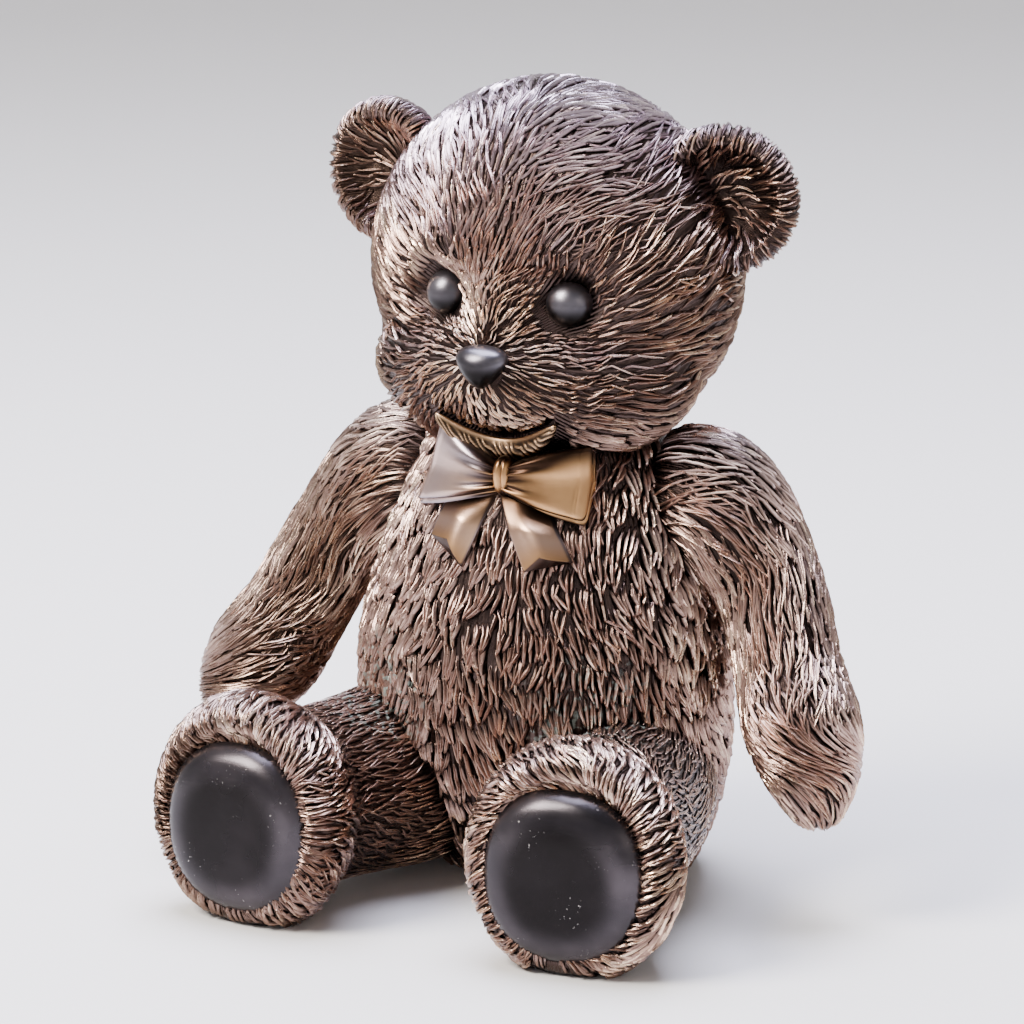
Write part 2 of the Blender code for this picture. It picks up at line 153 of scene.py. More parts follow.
# How far round the head the relief of the face begins and is full, and where the search for
# the skin starts and how often it halves the distance.
FACE_BEGINS, FACE_FULL = 0.05, 0.5
IN_FRONT_OF_THE_FACE, HALVINGS = -120.0, 24


def reach_of_egg(direction, centre, radii):
    """How far rays from the middle of the head run before they leave an egg."""
    start = (HEAD_CENTRE - centre) / radii
    ray = direction / radii
    square = (ray * ray).sum(-1)
    half = (ray * start).sum(-1)
    inside = half ** 2 - square * ((start * start).sum() - 1)
    return (-half + np.sqrt(np.maximum(inside, 0))) / square


def head_reach(direction):
    """The further of the two eggs, with a soft join of JAW_BLEND units."""
    skull = reach_of_egg(direction, HEAD_CENTRE, HEAD_RADII)
    jaw = reach_of_egg(direction, JAW_CENTRE, JAW_RADII)
    overlap = np.maximum(1 - np.abs(skull - jaw) / JAW_BLEND, 0)
    return np.maximum(skull, jaw) + JAW_BLEND / 4 * overlap ** 2


def mouth_height(across):
    """The smile is a parabola from corner to corner."""
    return MOUTH_CORNER_HEIGHT - MOUTH_DIP * (1 - np.clip(across / MOUTH_HALF_WIDTH, -1, 1) ** 2)


def face_relief(across, height):
    """The sum of round rises exp(-(dx/spread)^2 - (dz/spread)^2), less the open mouth."""
    side = np.abs(across)
    total = np.zeros_like(side)
    for centre_x, centre_z, spread_x, spread_z, rise in FACE_FORMS:
        total += rise * np.exp(-((side - centre_x) / spread_x) ** 2 - ((height - centre_z) / spread_z) ** 2)
    opening = MOUTH_OPENING * (1 - (np.clip(side / MOUTH_HALF_WIDTH, 0, 1)) ** 2) + MOUTH_LEAST_OPENING
    gap = np.exp(-((height - mouth_height(across)) / opening) ** 2) * (1 - ramp(side, *MOUTH_FADE))
    return total - MOUTH_DEPTH * gap


def head_point(direction):
    """The head's skin in one direction from its centre, moved forward by the relief of the face."""
    skin = HEAD_CENTRE + direction * head_reach(direction)[..., None]
    front = np.clip((-direction[..., 1] - FACE_BEGINS) / (FACE_FULL - FACE_BEGINS), 0, 1)
    skin[..., 1] -= front * face_relief(skin[..., 0], skin[..., 2])
    return skin


def head_surface(along, turn):
    """Longitude and latitude round the nose, because the fur streams away from the nose."""
    polar = pi * along
    flat = np.sin(polar)
    direction = np.stack([flat * np.cos(tau * turn), flat * np.sin(tau * turn), np.cos(polar)], axis=-1)
    tilt = pi / 2 + NOSE_TILT
    y = direction[..., 1] * cos(tilt) - direction[..., 2] * sin(tilt)
    z = direction[..., 1] * sin(tilt) + direction[..., 2] * cos(tilt)
    return head_point(np.stack([direction[..., 0], y, z], axis=-1))


def face_depth(across, height):
    """The y of the face straight in front of each place, found by halving the distance."""
    across, height = np.broadcast_arrays(np.asarray(across, float), np.asarray(height, float))
    outside = np.full(across.shape, IN_FRONT_OF_THE_FACE)
    inside = np.zeros(across.shape)
    for _ in range(HALVINGS):
        middle = (outside + inside) / 2
        place = np.stack([across, middle, height], axis=-1) - HEAD_CENTRE
        beyond = np.linalg.norm(place, axis=-1) > head_reach(unit(place))
        outside = np.where(beyond, middle, outside)
        inside = np.where(beyond, inside, middle)
    return inside - face_relief(across, height)


print("the muzzle is at y =", round(float(face_depth(0, NOSE_HEIGHT)), 1), "units under the nose")

# %% [markdown]
# ## The torso
# The torso is a pear, widest just above the lap. It could be sculpted, but an ellipse whose width,
# depth and middle change with height says the same in ten rows of numbers. Each row below is a
# height, half the width, half the depth and the middle of the ellipse from front to back.

# %% Shape of the torso
TORSO_STATIONS = (
    (188, 0, 0, 0), (186, 22, 19, 0), (172, 41, 36, -2), (150, 52, 44, -4), (120, 63, 53, -7),
    (85, 70, 59, -9), (45, 69, 56, -6), (12, 58, 44, 2), (-8, 40, 28, 6), (-12, 0, 0, 6),
)
EDGE_OF_THE_CHEST = 0.98
torso_samples = evenly(TORSO_STATIONS)


def torso_surface(along, turn):
    """An ellipse at each height: middle + (half width * cos, half depth * sin) of the turn."""
    height, half_width, half_depth, middle = np.moveaxis(read(torso_samples, along), -1, 0)
    angle = tau * turn
    return np.stack([half_width * np.cos(angle), middle + half_depth * np.sin(angle), height], axis=-1)


def torso_at(height):
    """Half the width, half the depth and the middle of the ellipse at each height."""
    shares = np.linspace(0, 1, len(torso_samples))
    share = np.interp(-np.asarray(height, float), -torso_samples[:, 0], shares)
    return np.moveaxis(read(torso_samples, share), -1, 0)[1:]


def chest_depth(across, height):
    """The y of the chest at a place: middle - half depth * root of 1 - (across / half width) squared."""
    half_width, half_depth, middle = torso_at(height)
    side = np.clip(np.abs(across) / half_width, 0, EDGE_OF_THE_CHEST)
    return middle - half_depth * np.sqrt(1 - side ** 2)


print("the chest is at y =", round(float(chest_depth(0, 150)), 1), "units under the bow")

# %% [markdown]
# ## The arms and legs
# A modeller rolls out clay and bends it over a wire. The same idea works here: a turned profile, in
# pairs of distance and radius, is carried along a bent middle line. Bent tubes with a bevelled
# curve would be as quick, but a function of two parameters can carry the fur later on. The foot is
# the wide end of the leg's profile, which turns back inwards to leave a hollow for the pad.

# %% Shape of the arms and legs
ARM_LINE = (
    (42, 3, 150), (66, 2, 146), (89.5, -4, 118), (104, -16, 88), (118, -28, 60), (119, -23, 37),
    (114, -16, 24),
)
ARM_PROFILE = (
    (0, 0), (3, 18), (14, 23.4), (32, 23.2), (62, 19.4), (92, 18.8), (116, 20.6), (133, 17.4), (146, 11.5),
    (153, 7), (154, 0),
)
LEG_LINE = ((34, 2, 38), (46, -36, 38), (58, -76, 38), (65, -112, 40), (68, -138, 41))
LEG_PROFILE = (
    (0, 0), (2, 24), (12, 33), (40, 34), (70, 32), (94, 32), (106, 37), (118, 41.5), (127, 41),
    (134, 36.5), (134, 31.5), (130, 27), (129, 0),
)
COLLAR_TALLER = 1.05
# No limb points this way, so the turn round a limb can be counted from it.
ACROSS_EVERY_LIMB = np.array((0, 0.35, 1.0))
AHEAD = 0.01


def limb(line, profile, side, taller=1.0):
    """The surface of one limb: the profile's radius round the middle line at the profile's distance."""
    spine = evenly(line)
    length = np.linalg.norm(np.diff(spine, axis=0), axis=1).sum()
    outline = evenly(profile)

    def surface(along, turn):
        distance, radius = np.moveaxis(read(outline, along), -1, 0)
        share = distance / length
        middle = read(spine, share)
        ahead = unit(read(spine, share + AHEAD) - read(spine, share - AHEAD))
        beside = unit(np.cross(ahead, ACROSS_EVERY_LIMB))
        above = np.cross(beside, ahead)
        angle = tau * turn
        reach_beside = (radius * np.cos(angle) / taller)[..., None]
        reach_above = (radius * np.sin(angle) * taller)[..., None]
        return (middle + beside * reach_beside + above * reach_above) * np.array((side, 1, 1))

    return surface


print("an arm has", len(ARM_LINE), "points on its line, and a leg has", len(LEG_LINE))

# %% [markdown]
# ## The ears
# An ear is a thick disc with a hollow in front, pressed onto the head. It is a turned profile too,
# and the inner rings slide towards the head, so that the hollow is deepest next to the root.

# %% Shape of the ears
EAR_CENTRE = (69.3, -2, 260)
EAR_PROFILE = ((0, -3), (12, -3), (17.5, 1), (22, 5.5), (27, 1), (25, -6), (14, -11), (0, -12))
EAR_TURN = radians(12)
EAR_ROOT_SHIFT, EAR_ROOT_DROP, EAR_HOLLOW_RADIUS = 9.0, 0.6, 20
ear_samples = evenly(EAR_PROFILE)


def ear(side):
    """A turned profile of radius and depth. The inner rings slide towards the root of the ear."""
    turned = side * EAR_TURN

    def surface(along, turn):
        radius, forward = np.moveaxis(read(ear_samples, along), -1, 0)
        slide = EAR_ROOT_SHIFT * np.clip(1 - radius / EAR_HOLLOW_RADIUS, 0, 1)
        across = radius * np.cos(tau * turn) - side * slide
        height = radius * np.sin(tau * turn) - slide * EAR_ROOT_DROP
        x = EAR_CENTRE[0] * side + across * cos(turned) + forward * sin(turned)
        y = EAR_CENTRE[1] + across * sin(turned) - forward * cos(turned)
        return np.stack([x, y, EAR_CENTRE[2] + height], axis=-1)

    return surface


SIDES = {"right": -1, "left": 1}
FORMS = {"head": head_surface, "torso": torso_surface}
for word, side in SIDES.items():
    FORMS[f"{word}_ear"] = ear(side)
    FORMS[f"{word}_arm"] = limb(ARM_LINE, ARM_PROFILE, side)
    FORMS[f"{word}_leg"] = limb(LEG_LINE, LEG_PROFILE, side, COLLAR_TALLER)
print(len(FORMS), "forms carry fur:", ", ".join(FORMS))

# %% [markdown]
# ## Which parts are buried
# The forms run into one another, as limbs of clay do. A lock that starts inside a neighbour would
# never be seen, so it is worth knowing how deep a point lies in each form. For the head and torso
# that comes from their own formulas, and for a limb from the nearest point of its middle line.

# %% Depth inside the forms
LINE_SAMPLES, FAR_OUTSIDE, GROUND = 60, -20, 0.4


def depth_in_head(points):
    """Positive inside: the skin's distance from the middle of the head less the point's own."""
    place = points - HEAD_CENTRE
    return head_reach(unit(place)) - np.linalg.norm(place, axis=-1)


def depth_in_torso(points):
    """Positive inside: how much the ellipse at that height has to shrink to pass the point."""
    half_width, half_depth, middle = torso_at(points[..., 2])
    half_width, half_depth = np.maximum(half_width, 1), np.maximum(half_depth, 1)
    share = np.hypot(points[..., 0] / half_width, (points[..., 1] - middle) / half_depth)
    outside = (points[..., 2] > TORSO_STATIONS[0][0]) | (points[..., 2] < 0)
    return np.where(outside, FAR_OUTSIDE, (1 - share) * half_depth)


def depth_in_limb(line, profile, side):
    """The depth function of one limb, from samples of its middle line."""
    spine = evenly(line, LINE_SAMPLES) * np.array((side, 1, 1))
    length = np.linalg.norm(np.diff(spine, axis=0), axis=1).sum()
    outline = evenly(profile)
    outward = outline[: int(np.argmax(outline[:, 0])) + 1]
    radius = np.interp(np.linspace(0, length, LINE_SAMPLES), outward[:, 0], outward[:, 1])

    def depth(points):
        """Positive inside: the radius less the distance, at the sample of the line that is nearest."""
        apart = np.linalg.norm(points[..., None, :] - spine, axis=-1)
        return (radius - apart).max(axis=-1)

    return depth


DEPTHS = {"head": depth_in_head, "torso": depth_in_torso}
for word, side in SIDES.items():
    DEPTHS[f"{word}_arm"] = depth_in_limb(ARM_LINE, ARM_PROFILE, side)
    DEPTHS[f"{word}_leg"] = depth_in_limb(LEG_LINE, LEG_PROFILE, side)


def buried(points, own, deeper_than):
    """True where a point lies in any form but its own, and where it lies below the ground."""
    hidden = points[..., 2] < GROUND
    for name, depth in DEPTHS.items():
        if name != own:
            hidden |= depth(points) > deeper_than
    return hidden


print("the neck lies", round(float(depth_in_head(np.array((0.0, 0.0, 186.0)))), 1), "units inside the head")

# %% [markdown]
# ## Meshes from arrays
# Thousands of locks are made at once, as whole arrays. `foreach_set` copies an array straight into
# the mesh, which is far quicker than adding faces one by one. Each point also carries how high it
# stands in the relief, so that the patina can be dark in the grooves and bright on the crests.

# %% Writing a mesh
SMALL_STEP = 1e-3


def mesh_from(name, points, face_sets, marks, uv=None):
    """Points in units and arrays of faces, one array for each number of corners."""
    mesh = bpy.data.meshes.new(name)
    corners = np.concatenate([faces.ravel() for faces in face_sets]).astype(np.int32)
    sizes = np.concatenate([np.full(len(faces), faces.shape[1]) for faces in face_sets])
    starts = np.concatenate([[0], np.cumsum(sizes)[:-1]]).astype(np.int32)
    mesh.vertices.add(len(points))
    mesh.vertices.foreach_set("co", (points * UNIT).astype(np.float32).ravel())
    mesh.loops.add(len(corners))
    mesh.loops.foreach_set("vertex_index", corners)
    mesh.polygons.add(len(sizes))
    mesh.polygons.foreach_set("loop_start", starts)
    mesh.update(calc_edges=True)
    mesh.shade_smooth()
    for label, values in marks.items():
        attribute = mesh.attributes.new(label, "FLOAT", "POINT")
        attribute.data.foreach_set("value", values.astype(np.float32))
    if uv is not None:
        mesh.uv_layers.new(name="OFBake").data.foreach_set("uv", uv.astype(np.float32).ravel())
    return mesh


def add_piece(name, mesh, material):
    """One piece of the bear: it rides with the casting and stands for the plain solid."""
    mesh.materials.append(material)
    piece = bpy.data.objects.new(name, mesh)
    bpy.context.scene.collection.objects.link(piece)
    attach(piece, "root")
    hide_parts("teddy_bear")
    triangles = sum(len(polygon.vertices) - 2 for polygon in mesh.polygons)
    print(f"{name}: {triangles} triangles")
    return piece


def facing(surface):
    """1 where along times turn points outwards on a surface, and -1 where it points inwards."""
    turn = np.linspace(0, 1, 16, endpoint=False)
    along = np.full(len(turn), 0.5)
    points = surface(along, turn)
    down = surface(along + SMALL_STEP, turn) - surface(along - SMALL_STEP, turn)
    over = surface(along, turn + SMALL_STEP) - surface(along, turn - SMALL_STEP)
    return 1.0 if (np.cross(down, over) * (points - points.mean(0))).sum() > 0 else -1.0


def grid_places(rows, columns):
    """Along and turn of each point of a grid: rows between two poles, then the two poles."""
    along = np.append(np.repeat(np.arange(1, rows) / rows, columns), (0.0, 1.0))
    turn = np.append(np.tile(np.arange(columns) / columns, rows - 1), (0.0, 0.0))
    return along, turn


def skin_grid(surface, rows, columns):
    """A closed grid over a surface, with a fan of triangles round each pole."""
    points = surface(*grid_places(rows, columns))
    row, column = np.meshgrid(np.arange(rows - 2), np.arange(columns), indexing="ij")
    here = (row * columns + column).ravel()
    beside = (row * columns + (column + 1) % columns).ravel()
    quads = np.stack([here, here + columns, beside + columns, beside], axis=1)
    ring = np.arange(columns)
    after = (ring + 1) % columns
    first, last = (rows - 1) * columns, (rows - 1) * columns + 1
    base = (rows - 2) * columns
    top = np.stack([np.full(columns, first), ring, after], axis=1)
    bottom = np.stack([np.full(columns, last), base + after, base + ring], axis=1)
    if facing(surface) < 0:
        quads, top, bottom = quads[:, ::-1], top[:, ::-1], bottom[:, ::-1]
    return points, [quads, np.concatenate([top, bottom])]


print("outwards, along times turn:", {name: facing(surface) for name, surface in FORMS.items()})

# %% [markdown]
# ## Locks of fur
# The modeller pressed each lock with a tool: it starts thin under its neighbour, swells, and ends
# in a point that stands proud of the next one. Here a lock is a small closed shell, a roof-shaped
# section carried along a short path on the skin. Particle hair would be quicker to set up, but it
# is not solid bronze and doesn't survive an export, so the locks are real faces.

# %% The path and section of a lock
# The section from one edge over the crest to the other, and the sizes of a lock from root to tip.
SECTION_ACROSS = np.array((-1.0, -0.5, 0.0, 0.5, 1.0))
SECTION_HEIGHT = np.array((-0.7, 0.2, 1.0, 0.2, -0.7))
STATION_SHARE = np.array((0.0, 0.16, 0.4, 0.66, 0.86))
STATION_WIDTH = np.array((0.35, 0.78, 1.0, 0.86, 0.48))
STATION_THICKNESS = np.array((0.25, 0.62, 0.95, 1.0, 0.72))
# How deep the root is sunk and how far the tip bends down, as shares of the lock's height, and
# how late the lock rises from the skin.
ROOT_SUNK, TIP_DROP, LATE_RISE = 0.35, 0.25, 1.3
# Near a pole a turn is hardly any distance. Counting it as this much keeps the paths calm.
LEAST_SPAN = 8.0
WAVES_IN_A_FIELD = 7


def wander(points, seed, scale):
    """A smooth field between about -1 and 1: the mean of sine waves in random directions."""
    rng = np.random.default_rng(seed)
    waves = rng.normal(size=(WAVES_IN_A_FIELD, 3)) / scale
    phases = rng.uniform(0, tau, WAVES_IN_A_FIELD)
    return np.sin(points @ waves.T + phases).mean(axis=-1) * 2


def stand_on(surface, outward, along, turn):
    """The point, the outward normal and the size of a step each way, by small differences."""
    step = SMALL_STEP
    down = (surface(along + step, turn) - surface(along - step, turn)) / (2 * step)
    over = (surface(along, turn + step) - surface(along, turn - step)) / (2 * step)
    normal = unit(np.cross(down, over)) * outward
    return surface(along, turn), normal, down, over


def lay_locks(surface, along, turn, length, width, height, heading, bend, wave, lift):
    """Locks from roots at (along, turn): walk along the surface and carry the section with it.

    At each step the path turns to its heading, an angle away from the lines of the form, which
    changes evenly by bend and to and fro by wave.
    """
    outward = facing(surface)
    along, turn, heading = along.copy(), turn.copy(), heading.copy()
    ends = np.append(STATION_SHARE, 1.0)
    spine, normals = [], []
    for index, share in enumerate(ends):
        if index:
            stride = (share - ends[index - 1]) * length
            _, _, down, over = stand_on(surface, outward, along, turn)
            down_size = np.maximum(np.linalg.norm(down, axis=-1), LEAST_SPAN)
            over_size = np.maximum(np.linalg.norm(over, axis=-1), LEAST_SPAN)
            angle = heading + bend * share + wave * np.sin(tau * share)
            along = along + stride * np.cos(angle) / down_size
            turn = turn + stride * np.sin(angle) / over_size
        point, normal, _, _ = stand_on(surface, outward, along, turn)
        spine.append(point)
        normals.append(normal)
    spine, normals = np.stack(spine, axis=1), np.stack(normals, axis=1)
    sunk = ROOT_SUNK * height[:, None]
    raised = -sunk + (lift[:, None] + sunk) * ends ** LATE_RISE
    spine = spine + normals * raised[..., None]
    ahead = unit(np.gradient(spine, axis=1))
    beside = unit(np.cross(normals, ahead))
    above = np.cross(ahead, beside)
    rings = len(STATION_SHARE)
    across = (width[:, None] / 2 * STATION_WIDTH)[..., None] * SECTION_ACROSS
    up = (height[:, None] * STATION_THICKNESS)[..., None] * SECTION_HEIGHT
    body = spine[:, :rings, None, :] + beside[:, :rings, None, :] * across[..., None]
    body = body + above[:, :rings, None, :] * up[..., None]
    tip = spine[:, rings:] - above[:, rings:] * (TIP_DROP * height)[:, None, None]
    return np.concatenate([body.reshape(len(along), -1, 3), tip], axis=1), spine, normals[:, 2, 2]


POINTS_IN_LOCK = len(SECTION_ACROSS) * len(STATION_SHARE) + 1
print("a lock has", POINTS_IN_LOCK, "points")

# %% [markdown]
# Every lock has the same faces, so those of one lock are worked out once and repeated with an
# offset. A finished colour has to be baked for use elsewhere, and for that each face needs a place
# of its own on a flat map. Unwrapping thousands of locks would take minutes. Instead each lock gets
# a small cell, with its section unrolled across the cell and its length up it.

# %% Faces and baking map of the locks
# In a cell one unit is one face of the section across and one ring up. The face that closes the
# root lies below the section, as an ellipse, and the cell gets that much more room.
ROOT_SPOT, ROOT_SPOT_RADII = (2.5, -0.9), (1.4, 0.6)
ROOM_BELOW, ROOM_IN_ALL = 1.6, 1.7


def lock_faces():
    """Faces of one lock, and for each corner its place in the lock's cell of the baking map."""
    around, rings = len(SECTION_ACROSS), len(STATION_SHARE)
    tip = around * rings
    quads, quad_places, tips, tip_places = [], [], [], []
    for ring in range(rings - 1):
        for side in range(around):
            low, high = ring * around, (ring + 1) * around
            after = (side + 1) % around
            quads.append((low + side, low + after, high + after, high + side))
            quad_places.append(((side, ring), (side + 1, ring), (side + 1, ring + 1), (side, ring + 1)))
    for side in range(around):
        base = (rings - 1) * around
        tips.append((base + side, base + (side + 1) % around, tip))
        tip_places.append(((side, rings - 1), (side + 1, rings - 1), (side + 0.5, rings)))
    root = [tuple(range(around - 1, -1, -1))]
    (across, up), (wide, high) = ROOT_SPOT, ROOT_SPOT_RADII
    spots = [tau * n / around for n in range(around, 0, -1)]
    root_places = [[(across + wide * cos(spot), up + high * sin(spot)) for spot in spots]]
    shapes = (np.array(quads), np.array(tips), np.array(root))
    places = (np.array(quad_places, float), np.array(tip_places, float), np.array(root_places, float))
    scaled = [(place + (0, ROOM_BELOW)) / (around, rings + ROOM_IN_ALL) for place in places]
    return shapes, scaled


LOCK_SHAPES, LOCK_PLACES = lock_faces()
print("a lock has", sum(len(faces) for faces in LOCK_SHAPES), "faces")

# %% [markdown]
# ## One mesh of skin and locks
# The locks stand on a plain skin, which closes the form between them. Both go into one mesh. Each
# point carries three marks that the patina reads: how high it stands in the relief, with painted
# shade at the root of each lock where it tucks under its neighbour, a random number for its lock,
# and how far it faces upwards, which carries a painted reflection of the sky. Each corner carries a
# count across the lock, from which the material draws the fine lines that the tool left.

# %% Skin and locks in one mesh
SKIN_SHARE_OF_MAP, SKIN_STRIP_EDGE, CELL_EDGE = 0.12, 0.03, 0.04
# The root of a lock gets painted shade, and what faces upwards gets a painted reflection of the sky.
RELIEF_AT_THE_TIP, SHADE_AT_THE_ROOT = 0.75, 0.5
FACES_THE_SKY = (0.1, 1.0)
# Fine ridges on the skin between the locks, all the way round a form, and on half a lock.
RIDGES_ON_THE_SKIN, RIDGES_ON_A_LOCK = 150, 1.5


def skin_map(skin_points, skin_faces):
    """The skin's strip of the baking map: the turn across it and the rows up it."""
    columns = len(skin_faces[1]) // 2
    rows = (len(skin_points) - 2) // columns + 1
    index = np.concatenate([faces.ravel() for faces in skin_faces])
    first_pole = len(skin_points) - 2
    row = np.where(index < first_pole, index // columns + 1, (index - first_pole) * rows)
    column = np.where(index < first_pole, index % columns, 0).astype(float)
    ring = np.arange(columns)
    starts = np.concatenate([np.tile(ring, rows - 2).repeat(4), np.tile(ring, 2).repeat(3)])
    column = np.where(index >= first_pole, starts + 0.5, column)
    column = np.where((starts == columns - 1) & (column == 0), columns, column)
    up = 1 - SKIN_SHARE_OF_MAP * (1 - SKIN_STRIP_EDGE - (1 - 2 * SKIN_STRIP_EDGE) * row / rows)
    return np.stack([column / columns, up], axis=-1)


def join_fur(name, skin, locks, upward, seed):
    """One mesh of the skin and its locks, with relief marks and a baking map."""
    skin_points, skin_faces = skin
    middle = (skin_points.max(axis=0) + skin_points.min(axis=0)) / 2
    skin_upward = unit((skin_points - middle) / np.ptp(skin_points, axis=0))[:, 2]
    count = len(locks)
    offset = len(skin_points) + POINTS_IN_LOCK * np.arange(count)
    face_sets, maps = list(skin_faces), [skin_map(skin_points, skin_faces)]
    cells = int(np.ceil(np.sqrt(count)))
    cell = np.stack([np.arange(count) % cells, np.arange(count) // cells], axis=-1)
    for faces, places in zip(LOCK_SHAPES, LOCK_PLACES):
        face_sets.append((faces[None] + offset[:, None, None]).reshape(-1, faces.shape[1]))
        inset = CELL_EDGE + (1 - 2 * CELL_EDGE) * places
        spread = (cell[:, None, None, :] + inset[None]) / cells
        maps.append(spread.reshape(-1, 2) * (1, 1 - SKIN_SHARE_OF_MAP))
    around = len(SECTION_ACROSS)
    relief = (SECTION_HEIGHT - SECTION_HEIGHT.min()) / np.ptp(SECTION_HEIGHT)
    relief = np.append(np.tile(relief, len(STATION_SHARE)), RELIEF_AT_THE_TIP)
    station = np.append(np.repeat(STATION_SHARE, around), 1.0)
    sideways = np.append(np.tile(SECTION_ACROSS, len(STATION_SHARE)), 0.0)
    rng = np.random.default_rng(seed)
    zeros = np.zeros(len(skin_points))
    # The relief, with painted shade at the root of each lock where it tucks under its neighbour.
    crest = relief * (SHADE_AT_THE_ROOT + (1 - SHADE_AT_THE_ROOT) * station)
    marks = {
        "crest": np.concatenate([zeros, np.tile(crest, count)]),
        "strand": np.concatenate([zeros + 0.5, np.repeat(rng.uniform(0, 1, count), POINTS_IN_LOCK)]),
        "sky": ramp(np.concatenate([skin_upward, np.repeat(upward, POINTS_IN_LOCK)]), *FACES_THE_SKY),
    }
    points = np.concatenate([skin_points, locks.reshape(-1, 3)])
    points[:, 2] = np.maximum(points[:, 2], 0)
    corners = np.concatenate([faces.ravel() for faces in face_sets[len(skin_faces):]]) - len(skin_points)
    lines = np.concatenate([
        RIDGES_ON_THE_SKIN * maps[0][:, 0], RIDGES_ON_A_LOCK * np.tile(sideways, count)[corners]])
    mesh = mesh_from(name, points, face_sets, marks, np.concatenate(maps))
    mesh.attributes.new("line", "FLOAT", "CORNER").data.foreach_set("value", lines.astype(np.float32))
    return mesh


print("the skin takes", SKIN_SHARE_OF_MAP, "of a baking map, and the locks take the rest")

# %% [markdown]
# ## Rows of roots
# Carved fur isn't scattered at random: the tool works along in rows, and each row covers the joints
# of the one before, like roof tiles. So the roots lie in rings an equal distance apart, with every
# second ring half a space out of step, and each root is moved a little from its place.

# %% Rows of roots
# How many rings and how many places round each of them measure a form, and how many places
# measure the way round one ring.
RINGS, PLACES_ROUND, GIRTH_PLACES = 300, 24, 120
FEWEST_ROOTS = 5


def roots(surface, first, last, row_gap, root_gap, seed, scatter=0.35):
    """Roots in rows across a form, each row half a space out of step, all moved a little at random."""
    rng = np.random.default_rng(seed)
    fine = np.linspace(first, last, RINGS)
    turns = np.linspace(0, 1, PLACES_ROUND, endpoint=False)
    grid = surface(np.repeat(fine, PLACES_ROUND), np.tile(turns, RINGS)).reshape(RINGS, PLACES_ROUND, 3)
    steps = np.linalg.norm(np.diff(grid, axis=0), axis=2).mean(axis=1)
    distance = np.concatenate([[0], np.cumsum(steps)])
    rows = max(int(distance[-1] / row_gap), 1)
    alongs, turned = [], []
    for row in range(rows):
        along = np.interp((row + 0.5) * distance[-1] / rows, distance, fine)
        ring = surface(np.full(GIRTH_PLACES, along), np.linspace(0, 1, GIRTH_PLACES))
        around = np.linalg.norm(np.diff(ring, axis=0), axis=1).sum()
        count = max(int(around / root_gap), FEWEST_ROOTS)
        turn = (np.arange(count) + 0.5 * (row % 2) + rng.uniform(-scatter, scatter, count)) / count
        share = rng.uniform(-scatter, scatter, count) * (last - first) / rows
        alongs.append(along + share)
        turned.append(turn)
    return np.concatenate(alongs), np.concatenate(turned)


tried_span, tried_gap = (0.13, 0.93), 10
tried = roots(torso_surface, *tried_span, tried_gap, tried_gap, 0)
print("with a gap of", tried_gap, "units the torso takes", len(tried[0]), "roots")

# %% [markdown]
# ## Fur on every form
# The same few numbers describe the fur of any form: how far apart the rows and roots are, and how
# long, wide and high a lock is. The headings wander together, like combed fur, with a little of
# their own. Locks that would start inside a neighbouring form are left out.

# %% Growing fur on a form
# Random shares of the given sizes: of a lock's length, its width and height, its lift, and of the
# length of a clump.
LENGTHS, WIDTHS, LIFTS, CLUMP_LENGTHS = (0.78, 1.12), (0.8, 1.2), (0.6, 1.3), (0.8, 1.15)
# The distances over which headings, bends and waves change, from broad to fine.
BROAD, MIDDLING, NARROW, FINE = 26.0, 14.0, 9.0, 7.0
# How far headings vary at random: of a clump, of a lock that has no clump, and of each strand.
CLUMP_SPREAD, LOCK_SPREAD, STRAND_SPREAD = 0.16, 0.06, 0.05
# Strands of a clump stand closer than they are wide, so they fuse. The outer ones are shorter. They
# start leaning outwards, bend inwards and close this much of the width at their tips.
STRAND_GAP, OUTER_SHORTER, CLUMP_CLOSES, LEAN_OUT, LEAN_IN = 0.78, 0.13, 0.75, 0.4, 2.2
# How much of the sway is narrow, and how far bends and waves go: by place and at random.
NARROW_SHARE = 0.35
BEND_BY_PLACE, BEND_SPREAD = 0.4, 0.1
LOCK_WAVE, STRAND_WAVE, WAVE_SPREAD = 0.5, 0.3, 0.08
BURIED_DEEPER_THAN, POLE_EDGE = 2.5, 0.004


